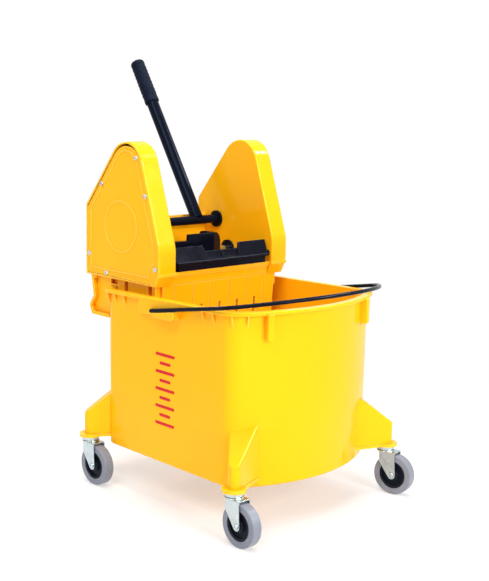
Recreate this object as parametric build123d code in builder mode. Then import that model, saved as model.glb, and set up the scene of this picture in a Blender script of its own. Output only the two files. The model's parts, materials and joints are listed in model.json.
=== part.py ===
from build123d import *
import os
from math import atan2, cos, degrees, hypot, pi, radians, sin, sqrt, tan

# Mop bucket on swivel casters with a down-press wringer hooked on its back rim.
# Millimetres. +Z is up, -Y is the bowed front, the origin is on the floor
# midway between the casters.

# Bucket shell
tub_base_z = 77.0
tub_half = 171.0
tub_rear_y = 182.0
tub_nose_y = -215.0
tub_bow = 54.5
tub_draft = 1.0
tub_wall = 4.0
tub_floor = 5.0
tub_floor_round = 4.0
tub_rear_corner = 23.0
tub_front_corner = 36.0
rim_mid_z = 375.0
rim_tilt = 1.17
rim_width = 9.5
rim_height = 7.0
rim_round = 2.0
gusset_thick = 3.0
gusset_drop = 20.0
gusset_ys = (169.0, 148.0, 121.0, -93.0, -119.0)
gusset_bow_x = 148.0
tab_x = 116.0
tab_width = 12.0
tab_proud = 14.0
tab_drop = 42.0
tab_round = 2.5
rear_rib_x = 100.0
rear_rib_width = 8.0
rear_rib_base_z = 292.0

# Caster pods on the bucket's corners
caster_x = 193.0
caster_y = 198.0
pod_base_z = 90.0
pod_front_bearing = 33.0
pod_rear_bearing = 30.0
pod_radius = 11.0
pod_front_root_half = 27.0
pod_rear_root_half = 14.0
pod_reach = 70.0
pod_face = 43.0
pod_slope = 38.0
pod_top_z = 185.0
pod_rear_lift = 2.0
pod_front_round = 4.0
pod_rear_round = 3.0
pod_flange_radius = 21.0
pod_flange = 5.0
pod_ledge = 2.0

# Bail and its lugs
bail_pivot_y = 32.0
bail_pivot_z = 352.5
bail_wire = 3.5
bail_tilt = 10.0
bail_nose_y = -255.0
bail_bow = 90.0
bail_corner = 36.0
bail_elbow = 6.0
bail_side_gap = 2.9
bail_pin_depth = 8.0
bail_pin_gap = 0.5
bail_rest_gap = 0.3
lug_front_y = -36.0
lug_rear_y = 70.0
lug_base_z = 344.5
lug_round = 6.0

# Casters
wheel_radius = 37.5
wheel_width = 19.0
wheel_core_radius = 26.0
wheel_core_width = 16.0
wheel_core_rim = 4.0
wheel_recess = 3.5
wheel_boss = 9.0
wheel_boss_foot = 2.0
tyre_round = 2.2
caster_trail = 20.0
axle_radius = 4.0
axle_head_radius = 5.0
axle_head = 2.6
axle_dimple_radius = 2.2
axle_dimple = 1.0
axle_nut_radius = 6.5
axle_nut = 5.0
axle_past_nut = 2.0
bush_wall = 2.2
bush_end_gap = 0.2
fork_gap = 1.6
fork_plate = 2.2
fork_bend = 1.8
fork_crown_gap = 3.5
fork_front = 25.0
fork_rear = 6.0
fork_shoulder = 20.0
fork_boss = 7.5
race_radius = 14.5
race_height = 2.6
race_gap = 0.3
cup_radius = 16.0
stem_radius = 5.5
stem_length = 30.0
stem_head_radius = 8.0
stem_head = 2.4
swivel_angles = {"front_left": 0.0, "front_right": 12.5, "rear_left": 2.0, "rear_right": -14.0}

# Wringer ears
shell = 3.5
ear_inner_x = 120.0
ear_outer_x = 159.0
ear_front_y = 41.0
ear_rear_y = 258.5
ear_base_z = 387.0
ear_toe_y = 52.0
ear_toe_z = 410.0
ear_front_knee_z = 456.0
ear_rear_knee_z = 519.0
ear_front_slope = 71.4
ear_rear_slope = 50.9
ear_top_radius = 48.0
ear_front_knee_radius = 60.0
ear_rear_knee_radius = 9.0
ear_edge_round = 2.4
cover_thick = 3.0
cover_inset = 1.8
cover_gap = 0.5
cover_top_gap = 4.0
cover_frame_inset = 11.0
cover_ridge = 2.8
cover_ridge_rise = 1.4
cover_disc_radius = 48.0
cover_notch_radius = 20.0
cover_notch_at = (50.0, 408.0)
screw_radius = 2.0
screw_head_radius = 4.6
screw_head = 2.2
screw_slot = 1.1
screw_slot_width = 1.2
screw_slot_length = 5.5
screw_boss = 5.2
screw_seat = 6.2
screw_bite = 12.0
screw_end_gap = 0.5
cover_screws_yz = (
    (110.0, 612.0),
    (211.0, 560.0),
    (83.0, 546.0),
    (249.0, 427.0),
    (53.0, 419.0),
    (196.0, 396.0),
)

# Wringer basket, saddle and hook skirt
basket_half = 139.0
basket_front_y = 54.0
basket_front_base_y = 62.0
basket_rear_y = 172.0
basket_rear_base_y = 164.0
basket_base_z = 245.0
lip_z = 411.0
lip_bead = 1.5
lip_bead_height = 5.0
ear_bead = 0.8
ear_bead_depth = 3.3
band_front_y = 50.0
band_height = 9.0
drain_pitch = 45.0
drain_count = 5
drain_width = 6.0
drain_height = 62.0
drain_top_z = 346.0
groove_width = 1.6
groove_depth = 1.0
groove_top_z = 388.0
groove_height = 113.0
floor_hole = 10.0
floor_hole_pitch = 29.0
floor_hole_rows = 3
floor_hole_columns = 8
under_pad_proud = 11.0
under_pad_inset = 8.0
under_pad_drop = 24.0
under_slot_ys = (146.0, 77.0)
under_slot_width = 11.0
saddle_gap = 0.3
back_y = 237.5
back_top_z = 488.0
skirt_half = 155.0
skirt_wall = 6.0
skirt_round = 2.5
skirt_base_z = 311.0
skirt_foot_y = 245.0
skirt_flare_y = 253.0
skirt_flare_z = 328.0
skirt_waist_y = 240.0
skirt_waist_z = 347.0
skirt_top_y = 247.0
skirt_end_recess = 8.0
skirt_end_gap = 4.0
skirt_end_top_y = 195.0
skirt_bearing_gap = 0.5

# Lever, gear train and press
lever_axis_y = 200.0
lever_axis_z = 480.0
lever_x = 68.5
lever_lean = 32.6
lever_length = 366.0
lever_shaft_radius = 8.6
lever_tube_radius = 12.2
lever_tube_wall = 1.8
lever_tube_start = 4.0
lever_plug_start = 12.0
lever_plug_length = 30.0
lever_stud_radius = 3.0
lever_stud_bite = 4.0
grip_length = 98.0
grip_radius = 14.8
grip_taper = 0.5
grip_round = 6.0
grip_mouth_round = 1.5
grip_cap = 4.0
press_axis_y = 165.0
press_axis_z = 424.0
press_shaft_radius = 7.0
gear_module = 2.0
pinion_teeth = 27
idler_teeth = 20
sector_teeth = 43
sector_tooth_count = 12
sector_from = 22.0
gear_pressure_angle = 20.0
gear_backlash = 0.3
gear_tip_cut = 0.15
gear_root_factor = 1.25
gear_flank_steps = 5
gear_width = 9.0
gear_wall_gap = 3.5
gear_plane_gap = 2.0
gear_hub = 4.5
running_fit = 0.05
thrust_gap = 0.3
bush_flange = 4.0
bush_sleeve = 3.0
bush_past_wall = 1.0
lever_bush_flange_radius = 16.4
press_bush_flange_radius = 17.0
idler_pin_radius = 5.0
idler_pin_seat = 2.5
idler_pin_past_clip = 1.5
clip_thick = 1.6
clip_width = 3.0
washer_thick = 2.0
washer_radius = 12.0

# Press plate, as it stands open
press_hub_wall = 6.0
press_hub_left_x = -104.0
press_hub_right_x = 70.0
press_base_z = 430.0
press_front_y = 108.0
press_rear_y = 140.0
press_plate_thick = 7.0
press_web_rise = 1.0
press_solid_left_x = 24.0
press_top_z = 467.0
press_block_left_x = -33.0
press_block_right_x = 56.5
press_turn_x = 30.0
press_turn_back = 12.0
press_top_round = 22.0
press_shoulder_left_x = -88.0
press_shoulder_z = 455.5
press_pin_radius = 2.5
press_pin_xs = (-80.0, 45.0)

# Front guard on the lip
guard_side_gap = 7.0
guard_front_y = 46.5
guard_depth = 11.0
guard_lip_gap = 0.3
guard_ledge_rise = 17.0
guard_ledge = 5.0
guard_ledge_proud = 3.5
guard_ledge_round = 1.5
guard_foot_inset = 5.0
guard_lean = 18.0
guard_comb_thick = 6.0
guard_tall = 27.5
guard_low = 16.5
guard_notch_half = 46.0
guard_notch_run = 4.0
guard_top_round = 2.0
guard_pocket = 2.5
guard_pocket_margin = 3.0
guard_pocket_foot = 3.0
guard_middle_bar = 4.0
guard_tab_radius = 6.0
guard_tab_reach = 6.3
guard_flange_inset = 6.0
guard_flange_drop = 20.0
guard_flange = 3.0
guard_flange_gap = 0.1
guard_web = 6.0
guard_screw_x = 75.0
guard_screw_head_radius = 3.8
guard_screw_head = 1.6

# How far a cut passes the face it opens
cut_over = 2.0

# Derived places
pinion_radius = gear_module * pinion_teeth / 2
idler_radius = gear_module * idler_teeth / 2
sector_radius = gear_module * sector_teeth / 2
wall_face_x = ear_inner_x + shell
pinion_x = wall_face_x + gear_wall_gap
sector_x = pinion_x + gear_width + gear_plane_gap
gears_end_x = sector_x + gear_width
cover_x = ear_outer_x - cover_inset - cover_thick
cover_face_x = cover_x + cover_thick
rim_edge_x = tub_half + rim_width
rim_edge_y = tub_rear_y + rim_width
shoulder_y = tub_nose_y + tub_bow
bow_radius = (tub_half**2 + tub_bow**2) / (2 * tub_bow)
bow_centre_y = tub_nose_y + bow_radius
bail_arm_x = rim_edge_x + bail_side_gap + bail_wire
basket_inner_front_y = basket_front_y + shell
fork_leg_x = wheel_width / 2 + fork_gap
fork_crown_z = 2 * wheel_radius + fork_crown_gap
cup_base_z = fork_crown_z + fork_plate + race_height + race_gap
corners = [(side_x, side_y) for side_x in (-1, 1) for side_y in (-1, 1)]
lever_axis = (lever_axis_y, lever_axis_z)
press_axis = (press_axis_y, press_axis_z)


def rim_z(y):
    """Return the height of the sloping rim's top face at y."""
    return rim_mid_z - y * tan(radians(rim_tilt))


saddle_z = rim_z(tub_rear_y - tub_wall) + saddle_gap


def idler_axis():
    """Return where the idler sits, one centre distance from each neighbour."""
    to_pinion = pinion_radius + idler_radius
    to_sector = sector_radius + idler_radius
    run_y = lever_axis_y - press_axis_y
    run_z = lever_axis_z - press_axis_z
    span = hypot(run_y, run_z)
    along = (to_sector**2 - to_pinion**2 + span**2) / (2 * span)
    aside = sqrt(to_sector**2 - along**2)
    return (
        press_axis_y + (along * run_y - aside * run_z) / span,
        press_axis_z + (along * run_z + aside * run_y) / span,
    )


idler_at = idler_axis()


def yz(x):
    """Return the plane across the object at x: sketch x is +Y, sketch y is +Z."""
    return Plane.YZ.offset(x)


def upright(x, y, outward):
    """Return the vertical plane at x, y: sketch x points outward, sketch y points up."""
    return Plane(origin=(x, y, 0), x_dir=outward, z_dir=outward.cross(Vector(0, 0, 1)))


def discs(plane, points, radius):
    """Return a sketch of equal circles."""
    with BuildSketch(plane) as face:
        with Locations(*points):
            Circle(radius)
    return face.sketch


def polygon(plane, points):
    """Return a sketch of one closed outline with straight sides."""
    with BuildSketch(plane) as face:
        with BuildLine():
            Polyline(*points, close=True)
        make_face()
    return face.sketch


def block(x, y, z, mode=Mode.ADD):
    """Put a box between the low and high values of x, y and z into the part."""
    middle = ((x[0] + x[1]) / 2, (y[0] + y[1]) / 2, (z[0] + z[1]) / 2)
    with Locations(middle):
        Box(x[1] - x[0], y[1] - y[0], z[1] - z[0], mode=mode)


def bar_x(centre, radius, x_from, x_to, mode=Mode.ADD):
    """Put a round bar along X into the part."""
    extrude(discs(yz(x_from), [centre], radius), amount=x_to - x_from, mode=mode)


def post(x, y, z_from, z_to, radius, mode=Mode.ADD):
    """Put a round upright post into the part."""
    extrude(discs(Plane.XY.offset(z_from), [(x, y)], radius), amount=z_to - z_from, mode=mode)


def both_sides(part):
    """Return a part and its mirror image across the middle as one group."""
    with BuildPart() as pair:
        add(part)
        mirror(part, about=Plane.YZ)
    return pair.part


def left_of(part):
    """Return the left-hand twin of a right-hand part."""
    with BuildPart() as twin:
        mirror(part, about=Plane.YZ)
    return twin.part


# Bucket outline and shell

def rim_plane(drop=0.0):
    """Return the plane of the rim's top face, lowered by a drop."""
    lean = radians(rim_tilt)
    return Plane(origin=(0, 0, rim_mid_z - drop), x_dir=(1, 0, 0), z_dir=(0, sin(lean), cos(lean)))


def tub_plan(plane, grow=0.0):
    """Return the bucket's outline on a plane, grown outwards or drawn in."""
    with BuildSketch(plane) as plan:
        with BuildLine():
            Polyline(
                (tub_half, shoulder_y),
                (tub_half, tub_rear_y),
                (-tub_half, tub_rear_y),
                (-tub_half, shoulder_y),
            )
            ThreePointArc((-tub_half, shoulder_y), (0, tub_nose_y), (tub_half, shoulder_y))
        make_face()
        fillet(plan.vertices().group_by(Axis.Y)[-1], tub_rear_corner)
        fillet(plan.vertices().group_by(Axis.Y)[0], tub_front_corner)
        if grow:
            offset(amount=grow)
    return plan.sketch


def bow_place(x):
    """Return the point and outward direction of the bowed front wall at x."""
    outward = Vector(x, -sqrt(bow_radius**2 - x**2), 0) / bow_radius
    return (bow_radius * outward.X, bow_centre_y + bow_radius * outward.Y, outward)


def corner_place(side_x):
    """Return the point and outward direction halfway round a front corner."""
    inner = bow_radius - tub_front_corner
    centre_x = tub_half - tub_front_corner
    centre_y = bow_centre_y - sqrt(inner**2 - centre_x**2)
    half_turn = (pi / 2 - atan2(centre_x, bow_centre_y - centre_y)) / 2
    outward = Vector(side_x * cos(half_turn), -sin(half_turn), 0)
    x = side_x * centre_x + tub_front_corner * outward.X
    y = centre_y + tub_front_corner * outward.Y
    return (x, y, outward)


def gusset(x, y, outward):
    """Return one small gusset between the wall and the rim."""
    top_z = rim_z(y) - rim_height / 2
    base_z = rim_z(y) - rim_height - gusset_drop
    side = polygon(
        upright(x, y, outward),
        [(-tub_wall, top_z), (rim_width - rim_round, top_z), (0, base_z), (-tub_wall, base_z)],
    )
    with BuildPart() as piece:
        extrude(side, amount=gusset_thick / 2, both=True)
    return piece.part


def front_tab(x, y, outward):
    """Return one upright tab under the front rim."""
    top_z = rim_z(y) - rim_height / 2
    base_z = rim_z(y) - rim_height - tab_drop
    side = polygon(
        upright(x, y, outward),
        [(-tub_wall / 2, base_z), (tab_proud, base_z), (tab_proud, top_z), (-tub_wall / 2, top_z)],
    )
    with BuildPart() as tab:
        extrude(side, amount=tab_width / 2, both=True)
        front = tab.faces().sort_by(lambda face: face.center().dot(outward))[-1]
        fillet(front.edges().sort_by(Axis.Z)[:-1], tab_round)
    return tab.part


def pod_plan(base, radius, root_half):
    """Return the outline of a pod: a round end drawn out to a straight root inside the tub wall."""
    with BuildSketch(base) as plan:
        Circle(radius)
        with Locations((-pod_reach, 0)):
            Rectangle(tub_wall, 2 * root_half)
        make_hull()
    return plan.sketch


def pod_solid(side_x, side_y):
    """Return one corner pod: sloped top, half-round outer face and bottom flange."""
    at_front = side_y < 0
    bearing = radians(pod_front_bearing if at_front else pod_rear_bearing)
    root_half = pod_front_root_half if at_front else pod_rear_root_half
    lift = 0 if at_front else pod_rear_lift
    edge_round = pod_front_round if at_front else pod_rear_round
    outward = Vector(side_x * cos(bearing), side_y * sin(bearing), 0)
    x = side_x * caster_x
    y = side_y * caster_y
    shoulder_z = pod_base_z + pod_face + lift
    top_z = pod_top_z + lift
    rise = tan(radians(pod_slope))
    low = (pod_radius + cut_over, shoulder_z - cut_over * rise)
    high = (pod_radius - (top_z - shoulder_z) / rise - cut_over, top_z + cut_over * rise)
    over = polygon(upright(x, y, outward), [low, high, (low[0], high[1])])
    base = Plane(origin=(x, y, pod_base_z), x_dir=outward, z_dir=(0, 0, 1))
    with BuildPart() as pod:
        extrude(pod_plan(base, pod_radius, root_half), amount=top_z - pod_base_z)
        extrude(over, amount=root_half + cut_over, both=True, mode=Mode.SUBTRACT)
        slope = pod.faces().sort_by(lambda face: abs(face.normal_at().Z - cos(radians(pod_slope))))[0]
        fillet(slope.edges().sort_by(Axis.Z)[:-1], edge_round)
        extrude(pod_plan(base, pod_radius + pod_ledge, root_half + pod_ledge), amount=pod_flange)
        post(x, y, pod_base_z, pod_base_z + pod_flange, pod_flange_radius)
    return pod.part


def arm_under_z(y):
    """Return the height just under the resting bail arm at y."""
    lean = radians(bail_tilt)
    return bail_pivot_z + (bail_pivot_y - y) * tan(lean) - (bail_wire + bail_rest_gap) / cos(lean)


ledge_rear_y = bail_pivot_y - bail_elbow - 2 * bail_wire
ledge_side = [
    (ledge_rear_y, lug_base_z),
    (lug_front_y + lug_round, lug_base_z),
    (lug_front_y, lug_base_z + lug_round),
    (lug_front_y, arm_under_z(lug_front_y)),
    (ledge_rear_y, arm_under_z(ledge_rear_y)),
]

with BuildPart() as bail_lug:
    block(
        (tub_half - tub_wall, rim_edge_x),
        (lug_front_y, lug_rear_y),
        (lug_base_z, rim_mid_z - rim_height / 2),
    )
    fillet(bail_lug.edges().filter_by(Axis.X).group_by(Axis.Z)[0], lug_round)
    extrude(polygon(yz(rim_edge_x - cut_over), ledge_side), amount=cut_over + bail_side_gap + 2 * bail_wire)
    bar_x(
        (bail_pivot_y, bail_pivot_z),
        bail_wire + running_fit,
        rim_edge_x - bail_pin_depth,
        rim_edge_x + cut_over,
        Mode.SUBTRACT,
    )

tub_ribs = [pod_solid(side_x, side_y) for side_x, side_y in corners]
for side_x in (-1, 1):
    tub_ribs.append(front_tab(*bow_place(side_x * tab_x)))
    tub_ribs.append(gusset(*bow_place(side_x * gusset_bow_x)))
    tub_ribs.append(gusset(*corner_place(side_x)))
    for y in gusset_ys:
        tub_ribs.append(gusset(side_x * tub_half, y, Vector(side_x, 0, 0)))

with BuildPart() as tub:
    loft([tub_plan(Plane.XY.offset(tub_base_z), -tub_draft), tub_plan(rim_plane(rim_height))])
    fillet(tub.faces().sort_by(Axis.Z)[0].edges(), tub_floor_round)
    extrude(tub_plan(rim_plane(rim_height), rim_width), amount=rim_height)
    fillet(tub.faces().sort_by(Axis.Z)[-1].edges(), rim_round)
    add(tub_ribs)
    for rib_x in (-rear_rib_x, rear_rib_x):
        block(
            (rib_x - rear_rib_width / 2, rib_x + rear_rib_width / 2),
            (tub_rear_y - tub_wall, rim_edge_y),
            (rear_rib_base_z, rim_z(rim_edge_y) - rim_height / 2),
        )
    add(bail_lug.part)
    mirror(bail_lug.part, about=Plane.YZ)
    loft(
        [
            tub_plan(Plane.XY.offset(tub_base_z + tub_floor), -tub_draft - tub_wall),
            tub_plan(rim_plane(-cut_over), -tub_wall),
        ],
        mode=Mode.SUBTRACT,
    )
    for side_x, side_y in corners:
        post(
            side_x * caster_x,
            side_y * caster_y,
            pod_base_z,
            pod_base_z + stem_length,
            stem_radius,
            Mode.SUBTRACT,
        )

with BuildPart() as caster_stems:
    for side_x, side_y in corners:
        x = side_x * caster_x
        y = side_y * caster_y
        post(x, y, fork_crown_z - stem_head, pod_base_z + stem_length, stem_radius)
        post(x, y, fork_crown_z - stem_head, fork_crown_z - race_gap, stem_head_radius)
        post(x, y, cup_base_z, pod_base_z, cup_radius)

# Bail, bent in a plane that tilts up from its pivots

bail_plane = Plane(
    origin=(0, bail_pivot_y, bail_pivot_z),
    x_dir=(1, 0, 0),
    z_dir=(0, -sin(radians(bail_tilt)), -cos(radians(bail_tilt))),
)
bail_reach = (bail_pivot_y - bail_nose_y) / cos(radians(bail_tilt))
bail_pin_x = rim_edge_x - bail_pin_depth + bail_pin_gap
bail_bow_radius = (bail_arm_x**2 + bail_bow**2) / (2 * bail_bow)
bail_bow_at = bail_reach - bail_bow_radius
bail_corner_x = bail_arm_x - bail_corner
bail_corner_at = bail_bow_at + sqrt((bail_bow_radius - bail_corner) ** 2 - bail_corner_x**2)
bail_bow_half = degrees(atan2(bail_corner_x, bail_corner_at - bail_bow_at))
bail_elbow_x = bail_arm_x - bail_elbow

with BuildPart() as bail:
    with BuildLine(bail_plane) as bail_path:
        Line((bail_pin_x, 0), (bail_elbow_x, 0))
        CenterArc((bail_elbow_x, bail_elbow), bail_elbow, -90, 90)
        Line((bail_arm_x, bail_elbow), (bail_arm_x, bail_corner_at))
        CenterArc((bail_corner_x, bail_corner_at), bail_corner, 0, 90 - bail_bow_half)
        CenterArc((0, bail_bow_at), bail_bow_radius, 90 - bail_bow_half, 2 * bail_bow_half)
        CenterArc((-bail_corner_x, bail_corner_at), bail_corner, 90 + bail_bow_half, 90 - bail_bow_half)
        Line((-bail_arm_x, bail_corner_at), (-bail_arm_x, bail_elbow))
        CenterArc((-bail_elbow_x, bail_elbow), bail_elbow, 180, 90)
        Line((-bail_elbow_x, 0), (-bail_pin_x, 0))
    sweep(discs(yz(bail_pin_x), [(bail_pivot_y, bail_pivot_z)], bail_wire), path=bail_path.wires()[0])

# One caster about its own swivel axis, trailing towards -Y

axle_at = (-caster_trail, wheel_radius)
bush_radius = axle_radius + bush_wall
fork_side_x = fork_leg_x + fork_plate

with BuildPart() as fork:
    for x in (fork_leg_x, -fork_side_x):
        with BuildSketch(yz(x)):
            with Locations(axle_at):
                Circle(fork_boss)
            with Locations(((fork_rear - fork_front) / 2, fork_crown_z + fork_plate - fork_shoulder / 2)):
                Rectangle(fork_front + fork_rear, fork_shoulder)
            make_hull()
        extrude(amount=fork_plate)
    block((-fork_side_x, fork_side_x), (-fork_front, fork_rear), (fork_crown_z, fork_crown_z + fork_plate))
    fillet(fork.edges().filter_by(Axis.Y).group_by(Axis.Z)[-1], fork_bend)
    post(0, 0, fork_crown_z, fork_crown_z + fork_plate + race_height, race_radius)
    post(
        0,
        0,
        fork_crown_z,
        fork_crown_z + fork_plate + race_height,
        stem_radius + running_fit,
        Mode.SUBTRACT,
    )
    bar_x(axle_at, axle_radius, -fork_side_x, fork_side_x, Mode.SUBTRACT)

with BuildPart() as axle:
    bar_x(axle_at, axle_radius, -fork_side_x, fork_side_x + axle_nut + axle_past_nut)
    bar_x(axle_at, axle_head_radius, -fork_side_x - axle_head, -fork_side_x)
    fillet(axle.edges().sort_by(Axis.X)[0], axle_head / 2)
    bar_x(
        axle_at,
        axle_dimple_radius,
        -fork_side_x - axle_head,
        -fork_side_x - axle_head + axle_dimple,
        Mode.SUBTRACT,
    )

with BuildPart() as axle_nut_ring:
    with BuildSketch(yz(fork_side_x)):
        with Locations(axle_at):
            RegularPolygon(axle_nut_radius, 6)
            Circle(axle_radius, mode=Mode.SUBTRACT)
    extrude(amount=axle_nut)

with BuildPart() as bush:
    with BuildSketch(yz(bush_end_gap - fork_leg_x)):
        with Locations(axle_at):
            Circle(bush_radius)
            Circle(axle_radius + running_fit, mode=Mode.SUBTRACT)
    extrude(amount=2 * (fork_leg_x - bush_end_gap))

with BuildPart() as wheel:
    bar_x(axle_at, wheel_core_radius, -wheel_core_width / 2, wheel_core_width / 2)
    for x, depth in ((wheel_core_width / 2, -wheel_recess), (-wheel_core_width / 2, wheel_recess)):
        with BuildSketch(yz(x)):
            with Locations(axle_at):
                Circle(wheel_core_radius - wheel_core_rim)
                Circle(wheel_boss + wheel_boss_foot, mode=Mode.SUBTRACT)
        extrude(amount=depth, mode=Mode.SUBTRACT)
    bar_x(axle_at, wheel_boss, -wheel_width / 2, wheel_width / 2)
    bar_x(axle_at, bush_radius, -wheel_width / 2, wheel_width / 2, Mode.SUBTRACT)

with BuildPart() as tyre:
    with BuildSketch(Plane.XY) as tread:
        with Locations((0, (wheel_core_radius + wheel_radius) / 2)):
            Rectangle(wheel_width, wheel_radius - wheel_core_radius)
        fillet(tread.vertices().group_by(Axis.Y)[-1], tyre_round)
    revolve(axis=Axis.X)

axle_middle = Location((0, axle_at[0], axle_at[1]))

# Wringer ear outline

def ear_plan(x, grow=0.0):
    """Return the outline of an ear at x, drawn in by a negative growth."""
    rise_front = tan(radians(ear_front_slope))
    rise_rear = tan(radians(ear_rear_slope))
    drop_between = ear_rear_knee_z - ear_front_knee_z
    apex_y = (drop_between + ear_front_y * rise_front + ear_rear_y * rise_rear) / (rise_front + rise_rear)
    apex_z = ear_front_knee_z + (apex_y - ear_front_y) * rise_front
    with BuildSketch(yz(x)) as plan:
        with BuildLine():
            Polyline(
                (ear_toe_y, ear_base_z),
                (ear_front_y, ear_toe_z),
                (ear_front_y, ear_front_knee_z),
                (apex_y, apex_z),
                (ear_rear_y, ear_rear_knee_z),
                (ear_rear_y, ear_base_z),
                close=True,
            )
        make_face()
        fillet(plan.vertices().sort_by(Axis.Y)[-1], ear_top_radius)
        fillet([v for v in plan.vertices() if v.Y == ear_front_knee_z], ear_front_knee_radius)
        fillet([v for v in plan.vertices() if v.Y == ear_rear_knee_z], ear_rear_knee_radius)
        if grow:
            offset(amount=grow, kind=Kind.INTERSECTION)
    return plan.sketch


with BuildPart() as ear_shell:
    extrude(ear_plan(ear_inner_x), amount=ear_outer_x - ear_inner_x)
    fillet(ear_shell.faces().sort_by(Axis.X)[0].edges(), ear_edge_round)
    fillet(ear_shell.faces().sort_by(Axis.X)[-1].edges(), ear_edge_round)
    extrude(ear_plan(wall_face_x, -shell), amount=ear_outer_x - wall_face_x, mode=Mode.SUBTRACT)
    extrude(discs(yz(wall_face_x), cover_screws_yz, screw_boss), amount=cover_x - wall_face_x)
    extrude(
        discs(yz(cover_x - screw_bite), cover_screws_yz, screw_radius),
        amount=screw_bite,
        mode=Mode.SUBTRACT,
    )
    block(
        (basket_half - shell, basket_half + under_pad_proud),
        (basket_front_y + under_pad_inset, basket_rear_y),
        (ear_base_z - under_pad_drop, ear_base_z + shell),
    )
    for y in under_slot_ys:
        block(
            (basket_half, basket_half + under_pad_proud),
            (y - under_slot_width / 2, y + under_slot_width / 2),
            (ear_base_z - under_pad_drop, ear_base_z),
            Mode.SUBTRACT,
        )
    block((basket_half - shell, basket_half), (basket_rear_y - shell, back_y), (saddle_z, ear_base_z + shell))

# Wringer housing

basket_outer = [
    (basket_front_y, ear_base_z),
    (basket_front_base_y, basket_base_z),
    (basket_rear_base_y, basket_base_z),
    (basket_rear_y, saddle_z + shell),
    (basket_rear_y, ear_base_z),
]
basket_inner = [
    (basket_front_y + shell, ear_base_z),
    (basket_front_base_y + shell, basket_base_z + shell),
    (basket_rear_base_y - shell, basket_base_z + shell),
    (basket_rear_y - shell, saddle_z + shell),
    (basket_rear_y - shell, ear_base_z),
]
skirt_bearing_y = rim_edge_y + skirt_bearing_gap
skirt_band = [
    (back_y - shell, ear_base_z + shell),
    (skirt_top_y, ear_base_z),
    (skirt_waist_y, skirt_waist_z),
    (skirt_flare_y, skirt_flare_z),
    (skirt_foot_y, skirt_base_z),
    (skirt_bearing_y, skirt_base_z),
    (skirt_bearing_y, skirt_base_z + skirt_wall),
    (skirt_foot_y - skirt_wall, skirt_base_z + skirt_wall),
    (skirt_flare_y - skirt_wall, skirt_flare_z),
    (skirt_waist_y - skirt_wall, skirt_waist_z),
    (skirt_top_y - skirt_wall, ear_base_z - skirt_wall),
    (back_y - shell, ear_base_z - skirt_wall),
]
with BuildSketch(yz(-skirt_half)) as skirt_sketch:
    with BuildLine():
        Polyline(*skirt_band, close=True)
    make_face()
    fillet([v for v in skirt_sketch.vertices() if v.Y < ear_base_z - skirt_wall], skirt_round)
skirt_outline = skirt_sketch.sketch
skirt_end_front_y = rim_edge_y + skirt_end_gap
skirt_end = [
    (skirt_end_front_y, skirt_base_z + skirt_wall / 2),
    (skirt_foot_y - skirt_wall / 2, skirt_base_z + skirt_wall / 2),
    (skirt_flare_y - skirt_wall / 2, skirt_flare_z),
    (skirt_waist_y - skirt_wall / 2, skirt_waist_z),
    (back_y, ear_base_z + shell / 2),
    (skirt_end_top_y, ear_base_z + shell / 2),
    (skirt_end_front_y, saddle_z + shell / 2),
]
wall_lean = hypot(basket_front_base_y - basket_front_y, ear_base_z - basket_base_z)
front_wall = Plane(
    origin=(0, basket_front_y, ear_base_z),
    x_dir=(1, 0, 0),
    z_dir=(0, (basket_base_z - ear_base_z) / wall_lean, (basket_front_y - basket_front_base_y) / wall_lean),
)
skirt_inner_half = skirt_half - skirt_end_recess
guard_screw_z = lip_z - band_height / 2
guard_screws_xz = [(-guard_screw_x, guard_screw_z), (guard_screw_x, guard_screw_z)]

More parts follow.
